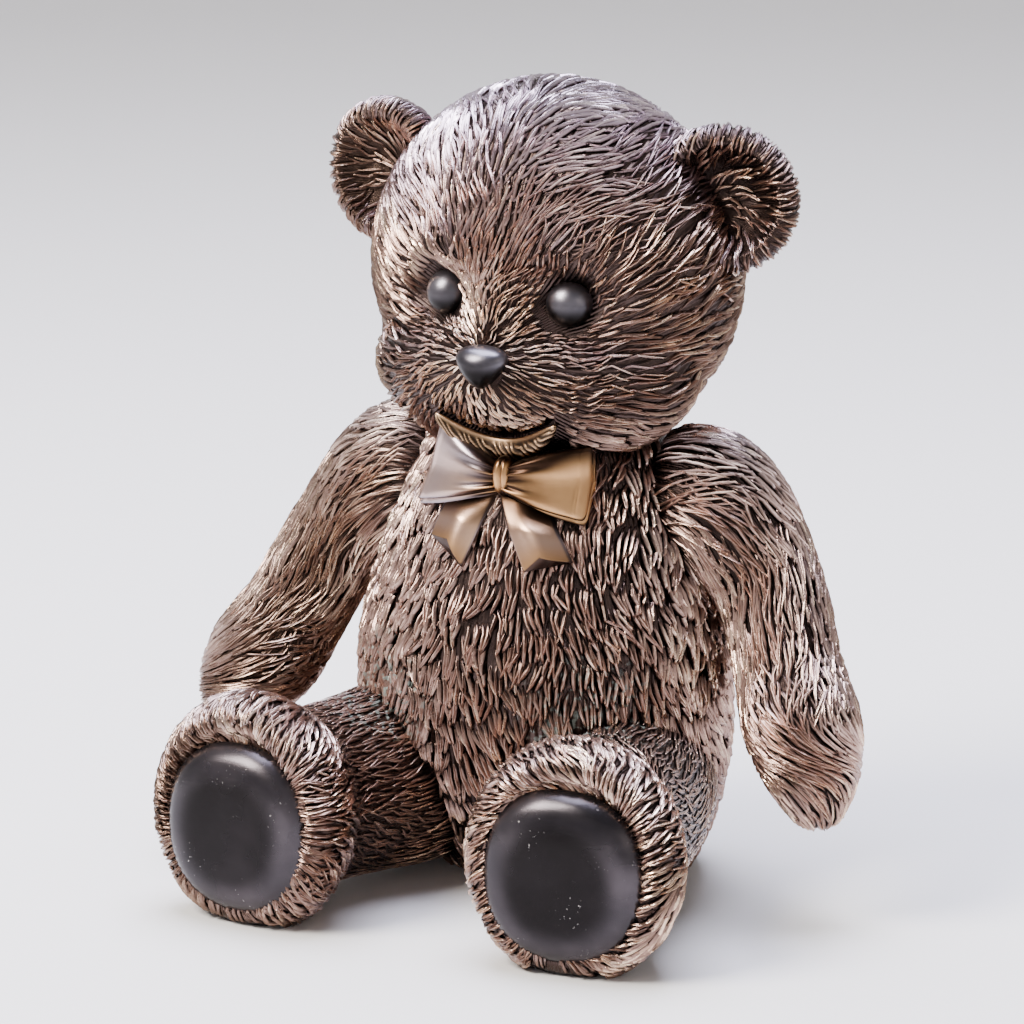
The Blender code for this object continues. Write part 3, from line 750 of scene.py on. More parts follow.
def grow(name, seed, span, gaps, size, lift, sway, strands=1, shape=None):
    """The locks of one form as an array of points, and how far each one faces upwards.

    A lock's heading is sway * (broad wander + a share of narrow wander) + a random turn of its own.
    A clump is a few strands side by side that lean together at their tips: each strand's lean is
    the angle whose tangent is its place across the clump over its length. `shape` may change the
    sizes by place.
    """
    surface = FORMS[name]
    along, turn = roots(surface, span[0], span[1], gaps[0], gaps[1], seed)
    rng = np.random.default_rng(seed + 100)
    clump_spread = CLUMP_SPREAD if strands > 1 else LOCK_SPREAD
    clump_heading = rng.normal(0, clump_spread, len(along)).repeat(strands)
    clump_length = rng.uniform(*CLUMP_LENGTHS, len(along)).repeat(strands)
    place = np.tile(np.arange(strands) - (strands - 1) / 2, len(along))
    along, turn = along.repeat(strands), turn.repeat(strands)
    half = SMALL_STEP / 2
    over = np.linalg.norm(surface(along, turn + half) - surface(along, turn - half), axis=-1) / SMALL_STEP
    turn = turn + place * size[1] * STRAND_GAP / np.maximum(over, LEAST_SPAN)
    points = surface(along, turn)
    count = len(along)
    length = size[0] * rng.uniform(*LENGTHS, count) * clump_length
    length = length * (1 - OUTER_SHORTER * np.abs(place))
    width = size[1] * rng.uniform(*WIDTHS, count)
    height = size[2] * rng.uniform(*WIDTHS, count)
    heading = sway * wander(points, seed, BROAD) + NARROW_SHARE * sway * wander(points, seed + 1, NARROW)
    heading += rng.normal(0, STRAND_SPREAD, count) + clump_heading
    lean = -np.arctan(place * size[1] * CLUMP_CLOSES / size[0])
    heading = heading - LEAN_OUT * lean
    bend = LEAN_IN * lean + BEND_BY_PLACE * wander(points, seed + 2, MIDDLING)
    bend += rng.normal(0, BEND_SPREAD, count)
    wave = (LOCK_WAVE if strands == 1 else STRAND_WAVE) * wander(points, seed + 3, FINE)
    wave += rng.normal(0, WAVE_SPREAD, count)
    raised = np.full(count, lift) * rng.uniform(*LIFTS, count)
    keep = ~buried(points, name, BURIED_DEEPER_THAN)
    if shape is not None:
        sizes = shape(points, length, width, height, heading, raised)
        length, width, height, heading, raised, wanted = sizes
        keep &= wanted
    values = (along, turn, length, width, height, heading, bend, wave, raised)
    locks, spine, upward = lay_locks(surface, *(each[keep] for each in values))
    shown = ~buried(spine[:, 2:].mean(axis=1), name, BURIED_DEEPER_THAN)
    print(f"{name}: {shown.sum()} locks")
    return locks[shown], upward[shown]


def shrunk(surface, amount):
    """The skin under the locks: each point of the form moved inwards along its normal."""
    outward = facing(surface)

    def inner(along, turn):
        inside = np.clip(along, POLE_EDGE, 1 - POLE_EDGE)
        point, normal, _, _ = stand_on(surface, outward, inside, turn)
        return np.where((along == inside)[..., None], point - normal * amount, surface(along, turn))

    return inner


# %% [markdown]
# ## Fur of the head
# The fur streams back from the nose in fine short locks, gets longer on the cheeks, parts above the
# brows and closes in a swirl behind the head, as real fur does where its streams meet. Combing
# would do it by hand. Here one function changes the given sizes by the place of each root: masks
# that fade with the distance from the nose, the eyes and the mouth.

# %% Fur of the head
NOSE_TIP = np.array((0, -57, 202))
# Distances from the nose over which locks grow to their full size and begin to sway.
GROWS_OVER, SWAYS_OVER = (8, 44), (12, 50)
# The bare patch under the nose, as half its width and height, and the middle of its height.
BARE_NOSE, BARE_NOSE_HEIGHT = (6, 4), NOSE_HEIGHT + 0.5
# Half the width of the short fur round the mouth and of the bare mouth, and how far each of them
# reaches above and below the line of the smile.
MOUTH_FUR, MOUTH_FUR_RISE, MOUTH_FUR_FALL = 30, 10, 14
BARE_MOUTH, BARE_MOUTH_RISE, BARE_MOUTH_FALL = 26.5, 2.6, 10.5
# The fur round an eye is short within this distance of a point beside the eye's middle.
EYE_FUR_REACH, EYE_FUR_INWARDS, EYE_FUR_LOWER, EYE_MARGIN = 16, 2, 1, 1
# How far headings turn at the parting, how wide it is and between which heights it starts, and
# the same for the swirl, which starts behind the ears.
PARTING, PARTING_WIDTH, PARTING_STARTS = 0.55, 9, (238, 262)
SWIRL, SWIRL_STARTS = 0.9, (5, 45)


def shape_of_face(points, length, width, height, heading, raised):
    """Short fine locks round the nose, none over the eyes and mouth, and a parting above the brows."""
    front = points[:, 1] < 0
    from_nose = np.linalg.norm(points - NOSE_TIP, axis=1)
    size = 0.7 + 0.3 * ramp(from_nose, *GROWS_OVER)
    length, width, height = length * size, width * size, height * size
    heading = heading * (0.3 + 0.7 * ramp(from_nose, *SWAYS_OVER))
    side = np.abs(points[:, 0])
    from_eye = np.hypot(side - EYE_ACROSS + EYE_FUR_INWARDS, points[:, 2] - EYE_HEIGHT + EYE_FUR_LOWER)
    near_eye = front & (from_eye < EYE_FUR_REACH)
    length = np.where(near_eye, length * 0.6, length)
    raised = np.where(near_eye, raised * 0.4, raised * (0.4 + 0.6 * size))
    below = mouth_height(points[:, 0]) - points[:, 2]
    near_mouth = front & (side < MOUTH_FUR) & (below > -MOUTH_FUR_RISE) & (below < MOUTH_FUR_FALL)
    length = np.where(near_mouth, length * 0.6, length)
    raised = np.where(near_mouth, raised * 0.2, raised)
    mouth = front & (side < BARE_MOUTH) & (below < BARE_MOUTH_FALL) & (below > -BARE_MOUTH_RISE)
    nose = front & (side < BARE_NOSE[0]) & (np.abs(points[:, 2] - BARE_NOSE_HEIGHT) < BARE_NOSE[1])
    eye = front & (from_eye < EYE_RADIUS + EYE_MARGIN)
    above_brows = ramp(points[:, 2], *PARTING_STARTS) * front
    heading = heading - PARTING * np.tanh(points[:, 0] / PARTING_WIDTH) * above_brows
    heading = heading + SWIRL * ramp(points[:, 1], *SWIRL_STARTS)
    return length, width, height, heading, raised, ~mouth & ~nose & ~eye


# The span of the form, the gaps between rows and roots, the length, width and height of a lock, its
# lift, the sway of its heading and the strands to a clump.
muzzle_locks = grow("head", 12, (0.012, 0.2), (3.7, 1.9), (12, 1.8, 1.5), 0.5, 0.3, 1, shape_of_face)
cheek_locks = grow("head", 11, (0.18, 0.97), (6.4, 2.6), (20, 2.3, 1.6), 0.5, 0.45, 1, shape_of_face)
fur_of = {"head": [np.concatenate(parts) for parts in zip(muzzle_locks, cheek_locks)]}

# %% [markdown]
# ## Fur of the body
# The chest has the boldest fur: clumps of three strands that hang like shingles and flatten towards
# the lap. The arms have long single locks that lie close and follow the limb. The legs are nearly
# smooth, until bold locks fold over the rim of the foot. Only the numbers differ from form to form.

# %% Fur of the torso
# The middle and the half sizes of the patch under the bow, across and in height.
BOW_FUR_CENTRE, BOW_FUR_REACH = (3, 146), (36, 24)
LAP_STARTS, LAP_FULL = 75, 20


def shape_of_chest(points, length, width, height, heading, raised):
    """Bold locks on the chest, shorter and flatter towards the lap and flat under the bow."""
    low = ramp(-points[:, 2], -LAP_STARTS, -LAP_FULL)
    length = length * (1 - 0.3 * low)
    height = height * (1 - 0.35 * low)
    raised = raised * (1 - 0.6 * low)
    from_bow = (points[:, (0, 2)] - BOW_FUR_CENTRE) / BOW_FUR_REACH
    under_bow = (points[:, 1] < 0) & (np.hypot(from_bow[:, 0], from_bow[:, 1]) < 1)
    raised = np.where(under_bow, raised * 0.3, raised)
    return length, width, height, heading, raised, np.ones(len(points), bool)


fur_of["torso"] = grow(
    "torso", 21, (0.13, 0.93), (7.0, 5.9), (15.5, 3.0, 1.6), 2.0, 0.22, 3, shape_of_chest)

# %% [markdown]
# The locks of an arm are long, narrow and low, and those of an ear are half as long and curl over
# its rim. They need no change by place, so the plain numbers do. Each side has a seed of its own,
# because the two sides of a hand-made bear are never mirror images.

# %% Fur of the arms and ears
for index, word in enumerate(SIDES):
    fur_of[f"{word}_arm"] = grow(
        f"{word}_arm", 31 + index, (0.06, 0.985), (7.0, 2.2), (23, 2.5, 1.25), 0.8, 0.3)
    fur_of[f"{word}_ear"] = grow(
        f"{word}_ear", 41 + index, (0.03, 0.97), (4.6, 2.3), (12, 2.0, 1.1), 0.5, 0.3)


# %% [markdown]
# A leg is nearly smooth on top, where hands rest on it, and its fur swells towards the foot into a
# thick collar round the pad. One ramp along the leg blends the sizes from the one to the other.

# %% Fur of the legs
COLLAR_STARTS, COLLAR_FULL = 88, 106


def shape_of_leg(points, length, width, height, heading, raised):
    """Fine shallow fur on the leg, and bold locks over the collar round the pad."""
    collar = ramp(-points[:, 1], COLLAR_STARTS, COLLAR_FULL)
    length = length * (0.8 + 0.4 * collar)
    width = width * (0.85 + 0.35 * collar)
    height = height * (0.3 + 0.9 * collar)
    raised = raised * (0.05 + 0.6 * collar)
    return length, width, height, heading, raised, np.ones(len(points), bool)


for index, word in enumerate(SIDES):
    fur_of[f"{word}_leg"] = grow(
        f"{word}_leg", 51 + index, (0.05, 0.86), (5.0, 2.3), (13.5, 2.1, 1.2), 0.9, 0.6, 1, shape_of_leg)

# %% [markdown]
# ## Patina
# Bronze is coloured with acids and a torch, then rubbed, so the deep grooves stay almost black, the
# flanks are brown and the crests show warm metal. The crest mark of the mesh picks between the
# three, and soft noise keeps the rubbing uneven. Writing the sums in Python is easier to read than
# dozens of node links, so a small class turns them into Math nodes.

# %% Shader sums as Python
class Value:
    """A socket with the usual operators, each of which adds one Math node."""

    def __init__(self, look, socket):
        self.look = look
        self.socket = socket

    def sum(self, operation, other, swapped=False):
        first, second = (other, self) if swapped else (self, other)
        return self.look.node("ShaderNodeMath", {"operation": operation}, {0: first, 1: second})

    def __add__(self, other):
        return self.sum("ADD", other)

    def __sub__(self, other):
        return self.sum("SUBTRACT", other)

    def __mul__(self, other):
        return self.sum("MULTIPLY", other)

    def __rsub__(self, other):
        return self.sum("SUBTRACT", other, swapped=True)

    __radd__ = __add__
    __rmul__ = __mul__

    def step(self, low, high):
        """0 below low and 1 above high, with a smooth slope between them."""
        settings = {"interpolation_type": "SMOOTHSTEP"}
        return self.look.node("ShaderNodeMapRange", settings, {0: self, 1: low, 2: high, 3: 0.0, 4: 1.0})


class Look:
    """A material with one Principled shader, and one method that adds every other node."""

    def __init__(self, name, metallic, roughness):
        self.material = bpy.data.materials.new(name)
        self.material.use_nodes = True
        self.nodes = self.material.node_tree.nodes
        self.links = self.material.node_tree.links
        self.shader = self.nodes["Principled BSDF"]
        self.shader.inputs["Metallic"].default_value = metallic
        self.shader.inputs["Roughness"].default_value = roughness
        self.place = self.node("ShaderNodeTexCoord", {}, {}, "Object")

    def node(self, kind, settings, inputs, output=0):
        """A node of a kind, with its settings made first and then its inputs set or linked."""
        made = self.nodes.new(kind)
        for label, value in settings.items():
            setattr(made, label, value)
        for label, value in inputs.items():
            self.feed(made.inputs[label], value)
        return Value(self, made.outputs[output])

    def feed(self, socket, value):
        """Link a value that varies, and set one that doesn't."""
        if isinstance(value, Value):
            self.links.new(value.socket, socket)
        else:
            socket.default_value = value

    def mark(self, label):
        """A number that the mesh carries."""
        return self.node("ShaderNodeAttribute", {"attribute_name": label}, {}, "Fac")

    def along(self, axis):
        """The place along one axis of the object, in metres."""
        return self.node("ShaderNodeSeparateXYZ", {}, {"Vector": self.place}, axis)

    def noise(self, scale, detail=3.0, stretch=None):
        """Soft noise on the object's own coordinates, from 0 to 1."""
        place = self.place
        if stretch:
            place = self.node("ShaderNodeMapping", {}, {"Vector": place, "Scale": stretch})
        return self.node("ShaderNodeTexNoise", {}, {"Vector": place, "Scale": scale, "Detail": detail})

    def mix(self, share, low, high):
        """A colour between two colours."""
        return self.node("ShaderNodeMix", {"data_type": "RGBA"}, {0: share, 6: low, 7: high}, 2)

    def distance(self, place, centre):
        """The distance from a place to a centre, in metres."""
        return self.node("ShaderNodeVectorMath", {"operation": "DISTANCE"}, {0: place, 1: centre}, "Value")

    def bump(self, height, distance, strength=1.0):
        """Fine relief in the shading only: a height from 0 to 1 that stands for a distance."""
        self.set("Normal", self.node(
            "ShaderNodeBump", {}, {"Height": height, "Distance": distance, "Strength": strength}))

    def set(self, label, value):
        self.feed(self.shader.inputs[label], value)


def colour(red, green, blue):
    """A colour that lets nothing through."""
    return (red, green, blue, 1.0)


print("made the classes", Value.__name__, "and", Look.__name__)

# %% [markdown]
# ## The bronze of the fur
# One material serves all the fur. It goes from near black in the grooves over brown flanks to
# rubbed crests. On top of that come broad differences: more rubbing round the muzzle together with
# painted light there, a paler chest, painted shade on the bear's right side over its arm, a painted
# reflection of the sky on upward faces, cool on the head and warm below it, and some green where
# water stands above the legs. Painting them would need a map, but a few soft masks on the object's
# own coordinates, which stay put from every side, do the same.

# %% Bronze of the fur
# Places and distances in metres, and between which of them each mask fades in or out. Water
# stands in the crease between the belly and the top of each leg.
NOSE_PLACE, MUZZLE_FADES = (0, -0.057, 0.202), (0.016, 0.042)
HIP_CREASE, DAMP_FADES = (0.045, 0.058, 0.072), (0.012, 0.034)
HEAD_STARTS, CHEST_STARTS, SHADED_SIDE_STARTS = (0.15, 0.2), (-0.1, -0.055), (0.045, 0.095)
# Noise scales, in changes to the metre: uneven rubbing, wavering lines, the grain of the casting.
CLOUDS, RIPPLES, GRAINS, STAINS = 11.0, 120.0, 1100.0, 420.0
# The first colour is the dark patina of the grooves, the second is painted shade for the bear's right side.
GROOVE, SHADED_SIDE = colour(0.05, 0.034, 0.03), colour(0.13, 0.083, 0.06)
VERDIGRIS = colour(0.3, 0.36, 0.33)
BROWN, CHEST_BROWN = colour(0.34, 0.215, 0.17), colour(0.43, 0.275, 0.22)
# The lighter brown round the muzzle is painted light.
LIT_MUZZLE_BROWN = colour(0.62, 0.43, 0.34)
RED_GOLD, PALE_GOLD = colour(0.74, 0.45, 0.27), colour(0.92, 0.69, 0.5)
# Painted reflections of the sky on what faces upwards, below the neck and on the head: the flanks and then
# the rubbed crests.
WARM_SKY_REFLECTION, COOL_SKY_REFLECTION = colour(0.54, 0.405, 0.37), colour(0.48, 0.395, 0.455)
WARM_SHEEN, COOL_SHEEN = colour(0.9, 0.74, 0.65), colour(0.84, 0.76, 0.86)


def fur_bronze():
    """Near black in the grooves, brown on the flanks and warm metal where hands have rubbed it, with
    painted light round the muzzle, painted shade on the bear's right side and a painted reflection of
    the sky on upward faces.
    """
    look = Look("fur_bronze", 1.0, 0.4)
    crest = look.mark("crest")
    strand = look.mark("strand")
    cloud = look.noise(CLOUDS)
    ripple = look.noise(RIPPLES)
    grain = look.noise(GRAINS, 2.0)
    phase = (look.mark("line") + ripple * 0.9) * tau
    lines = look.node("ShaderNodeMath", {"operation": "COSINE"}, {0: phase}) * 0.5 + 0.5
    height = crest + lines * 0.16
    # The mask round the muzzle adds rubbing and painted light.
    muzzle = 1 - look.distance(look.place, NOSE_PLACE).step(*MUZZLE_FADES)
    rubbed = (height + (cloud - 0.5) * 0.8 + (strand - 0.5) * 0.4 + muzzle * 0.34).step(0.72, 1.2)
    # The sky mark mixes in a painted reflection of the sky where the fur faces upwards.
    sky = look.mark("sky")
    on_head = look.along("Z").step(*HEAD_STARTS)
    chest = look.along("Y").step(*CHEST_STARTS) * (1 - on_head)
    brown = look.mix(sky, look.mix(chest, BROWN, CHEST_BROWN), look.mix(on_head, WARM_SKY_REFLECTION, COOL_SKY_REFLECTION))
    # Painted light: the flanks round the muzzle are painted lighter.
    brown = look.mix(muzzle * 0.9, brown, LIT_MUZZLE_BROWN)
    flank = look.mix(height.step(0.25, 0.95), GROOVE, brown)
    gold = look.mix(strand, RED_GOLD, PALE_GOLD)
    metal = look.mix(sky * 0.8, gold, look.mix(on_head, WARM_SHEEN, COOL_SHEEN))
    # Painted shade: the bear's right side, its arm with it, is darkened.
    shaded_side = (look.along("X") * -1).step(*SHADED_SIDE_STARTS)
    bronze = look.mix(shaded_side * 0.6, look.mix(rubbed, flank, metal), SHADED_SIDE)
    both_hips = look.node("ShaderNodeVectorMath", {"operation": "ABSOLUTE"}, {0: look.place})
    damp = 1 - look.distance(both_hips, HIP_CREASE).step(*DAMP_FADES)
    green = damp * look.noise(STAINS, 2.0).step(0.56, 0.66)
    look.set("Base Color", look.mix(green * 0.8, bronze, VERDIGRIS))
    look.set("Roughness", 0.31 - 0.08 * rubbed + (grain - 0.5) * 0.2 + green * 0.4)
    look.bump(lines * 0.8 + grain * 0.3 + ripple * 0.5, 0.0005, 0.7)
    return look.material


FUR = fur_bronze()
print("the bronze of the fur has", len(FUR.node_tree.nodes), "nodes")

# %% [markdown]
# ## Skins and fur together
# The skin of each form is laid half a unit below the roots, so that no lock floats. The head and
# the torso are larger than the limbs, so they get a finer grid. All the pieces ride with the one
# casting and stand for its plain solid.

# %% Skins and fur together
SKIN_GRIDS, LIMB_GRID = {"head": (90, 120), "torso": (60, 90)}, (50, 44)
SKIN_BELOW, STRAND_SEED = 0.5, 61
for name, surface in FORMS.items():
    skin = skin_grid(shrunk(surface, SKIN_BELOW), *SKIN_GRIDS.get(name, LIMB_GRID))
    add_piece(f"{name}_fur", join_fur(name, skin, *fur_of[name], STRAND_SEED), FUR)

# %% [markdown]
# ## The bronze of the smooth parts
# The eyes, nose, lip, pads and bow were worked smooth in the clay and polished. What differs is how
# dark they are, how much they are rubbed and how dusty, so one function makes all four finishes.
# The crest mark of a piece leads from the crease colour to the polished one, and on the eyes,
# nose, pads and bow it also carries painted shade and painted highlights. Cloudy noise keeps the
# polish uneven, fine noise that changes four times faster with height gives level brush marks, and
# the sky mark mixes in a painted reflection of the sky.

# %% Smooth bronze
# The first colour is a painted reflection of the sky, the second is dust.
PALE_SKY_REFLECTION, DUST = colour(0.56, 0.49, 0.54), colour(0.42, 0.4, 0.38)
POLISH_CLOUDS, BRUSH_MARKS, BRUSHED_ALONG = 32.0, 260.0, (1.0, 1.0, 4.0)
DUST_SPECKS, DUSTY_PATCHES = 900.0, 60.0


def smooth_bronze(name, creased_and_shaded, base, worn, metallic, roughness, dust):
    """Polished bronze from its crease colour, partly painted shade, to its worn colour, with brush marks,
    dust and a painted reflection of the sky.
    """
    look = Look(name, metallic, roughness)
    cloud = look.noise(POLISH_CLOUDS, 4.0)
    brush = look.noise(BRUSH_MARKS, 3.0, BRUSHED_ALONG)
    specks = look.noise(DUST_SPECKS, 1.0).step(0.70, 0.76) * look.noise(DUSTY_PATCHES).step(0.5, 0.7) * dust
    tone = look.mix(cloud.step(0.35, 0.75), base, worn)
    # The crease colour covers real creases and, on the eyes, nose and bow, painted shade.
    tone = look.mix((look.mark("crest") + (cloud - 0.5) * 0.3).step(0.0, 0.9), creased_and_shaded, tone)
    # A painted reflection of the sky where the sky mark is set.
    tone = look.mix(look.mark("sky") * 0.7, tone, PALE_SKY_REFLECTION)
    look.set("Base Color", look.mix(specks, tone, DUST))
    look.set("Roughness", roughness - 0.06 + cloud * 0.14 + specks * 0.4)
    look.bump(brush * 0.25 + cloud, 0.0004, 0.3)
    return look.material


PAD_LOOK = smooth_bronze(
    "pad_bronze", colour(0.006, 0.005, 0.005), colour(0.03, 0.027, 0.03), colour(0.07, 0.06, 0.066),
    0.9, 0.26, 1.0)
# On the eyes and nose the crease colour is painted shade towards the bottom.
EYE_LOOK = smooth_bronze(
    "eye_bronze", colour(0.008, 0.007, 0.007), colour(0.06, 0.056, 0.064), colour(0.17, 0.16, 0.18),
    0.95, 0.3, 0.2)
LIP_LOOK = smooth_bronze(
    "lip_bronze", colour(0.035, 0.024, 0.017), colour(0.46, 0.28, 0.15), colour(0.72, 0.48, 0.29),
    1.0, 0.34, 0.0)
# On the bow the crease colour is partly patina in the creases and partly painted shade.
BOW_LOOK = smooth_bronze(
    "bow_bronze", colour(0.03, 0.016, 0.01), colour(0.34, 0.175, 0.075), colour(0.58, 0.335, 0.15),
    1.0, 0.3, 0.0)
print("smooth finishes:", ", ".join(look.name for look in (PAD_LOOK, EYE_LOOK, LIP_LOOK, BOW_LOOK)))

# %% [markdown]
# ## Eyes and nose
# The eyes are balls of nearly black bronze, set deep enough that the fur closes round them. The
# nose is a ball as well, flattened above and drawn in below, like a rounded triangle. A sphere from
# a menu would do for the eyes, but the same function serves all of them, and the two ends of the
# ball point forward and back, where they don't show.

# %% Eyes and nose
NOSE_RADII, NOSE_SUNK = (11.8, 8, 9), 1
NOSE_WIDTH, NOSE_NARROWING, NOSE_FLATTENED = 0.78, 0.34, 0.8
# The eye on the bear's right was set a little closer to the nose than the other one.
EYE_INWARDS = {"right": 1.5, "left": 0.0}


def ball(centre, radii, power=1.0):
    """An egg: centre + radii * direction, its poles in front and behind."""

    def surface(along, turn):
        polar = pi * along
        flat = np.sin(polar) ** power
        cosine, sine = np.cos(tau * turn), np.sin(tau * turn)
        direction = np.stack([flat * cosine, -np.cos(polar), flat * sine], axis=-1)
        return np.asarray(centre) + np.asarray(radii) * direction

    return surface


def nose_surface(along, turn):
    """A ball that narrows downwards and is flattened above."""
    point = ball((0, 0, 0), NOSE_RADII)(along, turn)
    share = point[..., 2] / NOSE_RADII[2]
    point[..., 0] *= NOSE_WIDTH + NOSE_NARROWING * share
    point[..., 2] = np.where(share > 0, point[..., 2] * NOSE_FLATTENED, point[..., 2])
    return point + np.array((0, float(face_depth(0, NOSE_HEIGHT)) + NOSE_SUNK, NOSE_HEIGHT))


def light_from_above_marks(along, turn):
    """Painted light: lighter above and painted shade below."""
    height = np.sin(pi * along) * np.sin(tau * turn)
    return {"crest": ramp(height, -0.5, 0.8)}


def smooth_piece(name, surface, rows, columns, material, marks):
    """A piece without fur. Its sky mark, which mixes in a painted reflection of the sky, is 0 unless its
    own marks say otherwise.
    """
    points, faces = skin_grid(surface, rows, columns)
    values = {"sky": np.zeros(len(points)), **marks(*grid_places(rows, columns))}
    return add_piece(name, mesh_from(name, points, faces, values), material)


eye_depth = float(face_depth(EYE_ACROSS, EYE_HEIGHT)) + EYE_SUNK
for word, side in SIDES.items():
    centre = (side * (EYE_ACROSS - EYE_INWARDS[word]), eye_depth, EYE_HEIGHT)
    smooth_piece(f"{word}_eye", ball(centre, (EYE_RADIUS,) * 3), 40, 56, EYE_LOOK, light_from_above_marks)
smooth_piece("nose", nose_surface, 40, 56, EYE_LOOK, light_from_above_marks)

# %% [markdown]
# ## Foot pads
# A pad is a dome of smooth leather on a real toy, and a polished dome here. Its outline is between
# an ellipse and a rectangle: the radius is divided by the power mean of the cosine and the sine.
# The middle stays dark, and the shoulder just inside the rim is lighter: rubbed by hands and also a painted
# highlight.

# %% Foot pads
PAD_CENTRE = (66, -126, 36)
PAD_PROFILE = ((0, 9), (15, 8.4), (25, 6.2), (29.8, 2), (31, -2.5), (26, -6), (0, -6.5))
PAD_SPLAY, PAD_SQUARENESS, PAD_TALLER = radians(5), 2.25, 1.035
pad_samples = evenly(PAD_PROFILE)


def pad(side):
    """A rounded dome: a turned profile on an outline between an ellipse and a rectangle."""

    def surface(along, turn):
        radius, forward = np.moveaxis(read(pad_samples, along), -1, 0)
        cosine, sine = np.cos(tau * turn), np.sin(tau * turn)
        squared = np.abs(cosine) ** PAD_SQUARENESS + np.abs(sine) ** PAD_SQUARENESS
        squared = squared ** (-1 / PAD_SQUARENESS)
        across, height = radius * squared * cosine, radius * squared * sine * PAD_TALLER
        turned = side * PAD_SPLAY
        x = side * PAD_CENTRE[0] + across * cos(turned) + forward * sin(turned)
        y = PAD_CENTRE[1] + across * sin(turned) - forward * cos(turned)
        return np.stack([x, y, PAD_CENTRE[2] + height], axis=-1)

    return surface


def pad_marks(along, turn):
    """Lighter along the rim, as rubbing and as a painted highlight, and near black in the middle."""
    return {"crest": 0.15 + 0.9 * ramp(along, 0.22, 0.42)}


for word, side in SIDES.items():
    smooth_piece(f"{word}_pad", pad(side), 60, 96, PAD_LOOK, pad_marks)

# %% [markdown]
# ## Lower lip
# The smile is one raised bead under the mouth, with a sharp upper rim and short slanted strokes of
# the tool on its outside. A sweep along a curve would give the bead alone. As a function, the
# radius can also carry the rim and the strokes, and the same strokes then lighten the patina.

# %% Lower lip
LIP_HALF_WIDTH, LIP_CORNER_HEIGHT, LIP_DIP, LIP_RADIUS, LIP_STAND_OUT = 25, 180, 11.5, 3.8, 1.6
LIP_RIM_ANGLE, LIP_RIM_SPREAD, LIP_RUBBED_SPREAD = radians(118), radians(15), radians(17)
LIP_RIM_RISE, LIP_RIDGE_RISE, LIP_RIDGES = 1.0, 0.7, 19


def lip_ridges(along, angle):
    """Slanted strokes of fur on the outside of the lip, unevenly spaced, from 0 to 1."""
    outside = ramp(-np.sin(angle), -0.75, -0.2) * ramp(-np.cos(angle), -0.9, 0.2)
    waver = 9 * np.sin(angle) + 1.5 * np.sin(tau * 3.7 * along) + 1.1 * np.sin(tau * 8.3 * along)
    return outside * (0.5 + 0.5 * np.cos(tau * LIP_RIDGES * along + waver)) ** 3


def lip_surface(along, turn):
    """A bead along an arc under the mouth, with a thin rim above and ridges of fur below."""
    share = 2 * along - 1
    across = share * LIP_HALF_WIDTH
    height = LIP_CORNER_HEIGHT - LIP_DIP * (1 - share ** 2)
    depth = face_depth(across, height) - LIP_STAND_OUT
    angle = tau * turn
    rim = np.exp(-((np.mod(angle, tau) - LIP_RIM_ANGLE) / LIP_RIM_SPREAD) ** 2)
    radius = LIP_RADIUS + LIP_RIM_RISE * rim + LIP_RIDGE_RISE * lip_ridges(along, angle)
    radius = radius * np.sqrt(np.maximum(1 - share ** 4, 0))
    return np.stack([across, depth + radius * np.cos(angle), height + radius * np.sin(angle)], axis=-1)


def lip_marks(along, turn):
    """The rim is rubbed bright, and so are the crests of the strokes."""
    rim = np.exp(-((tau * turn - LIP_RIM_ANGLE) / LIP_RUBBED_SPREAD) ** 2)
    return {"crest": 0.02 + 0.9 * rim + 0.7 * lip_ridges(along, tau * turn)}


smooth_piece("lower_lip", lip_surface, 210, 40, LIP_LOOK, lip_marks)

# %% [markdown]
# ## The ribbon bow
# The bow was modelled as a soft satin ribbon: two puffed loops, two tails with notched ends and a
# knot that gathers them. Real ribbon would be simulated as cloth, but this one is cast, so each
# piece is a thick closed form. A loop's section is carried from the knot to its outer fold, with
# folds that fan out from the knot, and a thinner copy behind it shows the back of the ribbon.

# %% Loops of the bow
BOW_ACROSS, BOW_HEIGHT, BOW_STAND_OFF = 2.5, 159, 4
FOLD_REACH, FOLD_TURNS, FOLD_RISE = 0.34, 13, 1.1
BEAD_SHARE, BEAD_SPREAD, BEAD_RISE = 0.9, 0.035, 0.9
EDGE_THICKNESS, LOOP_LEAN = 1.2, 1.5


def loop_share(along, turn):
    """How far out a place lies in its loop, and how high in the section, from -1 to 1."""
    sine = np.sin(tau * turn)
    return 1 - (1 - along) ** 1.5, np.sign(sine) * np.abs(sine) ** 0.55


def loop_folds(share, level):
    """Folds that run out from the knot, closer together near it, and fade away: from -1 to 1."""
    fading = np.exp(-(share / FOLD_REACH) ** 1.5) * ramp(share, 0.0, 0.08)
    return np.cos(FOLD_TURNS * level + 1.5 + 2 * share) * fading


def loop_marks(pale):
    """Marks of a loop, with a painted reflection of the sky as pale as given."""

    def marks(along, turn):
        """Dark at the knot, in the folds and along the edges, as patina in the creases and painted shade,
        and darker over the upper half as painted shade.
        """
        share, level = loop_share(along, turn)
        crest = ramp(share, 0.1, 0.9) + 0.8 * loop_folds(share, level) + 0.02
        # Painted shade over the upper half of the loop, less on a loop with a painted sky reflection.
        crest = crest - 1.2 * ramp(np.abs(level), 0.85, 1.0) - (0.95 - 0.5 * pale) * ramp(level, 0.0, 0.9)
        return {"crest": crest, "sky": pale * ramp(share, 0.1, 0.8)}

    return marks


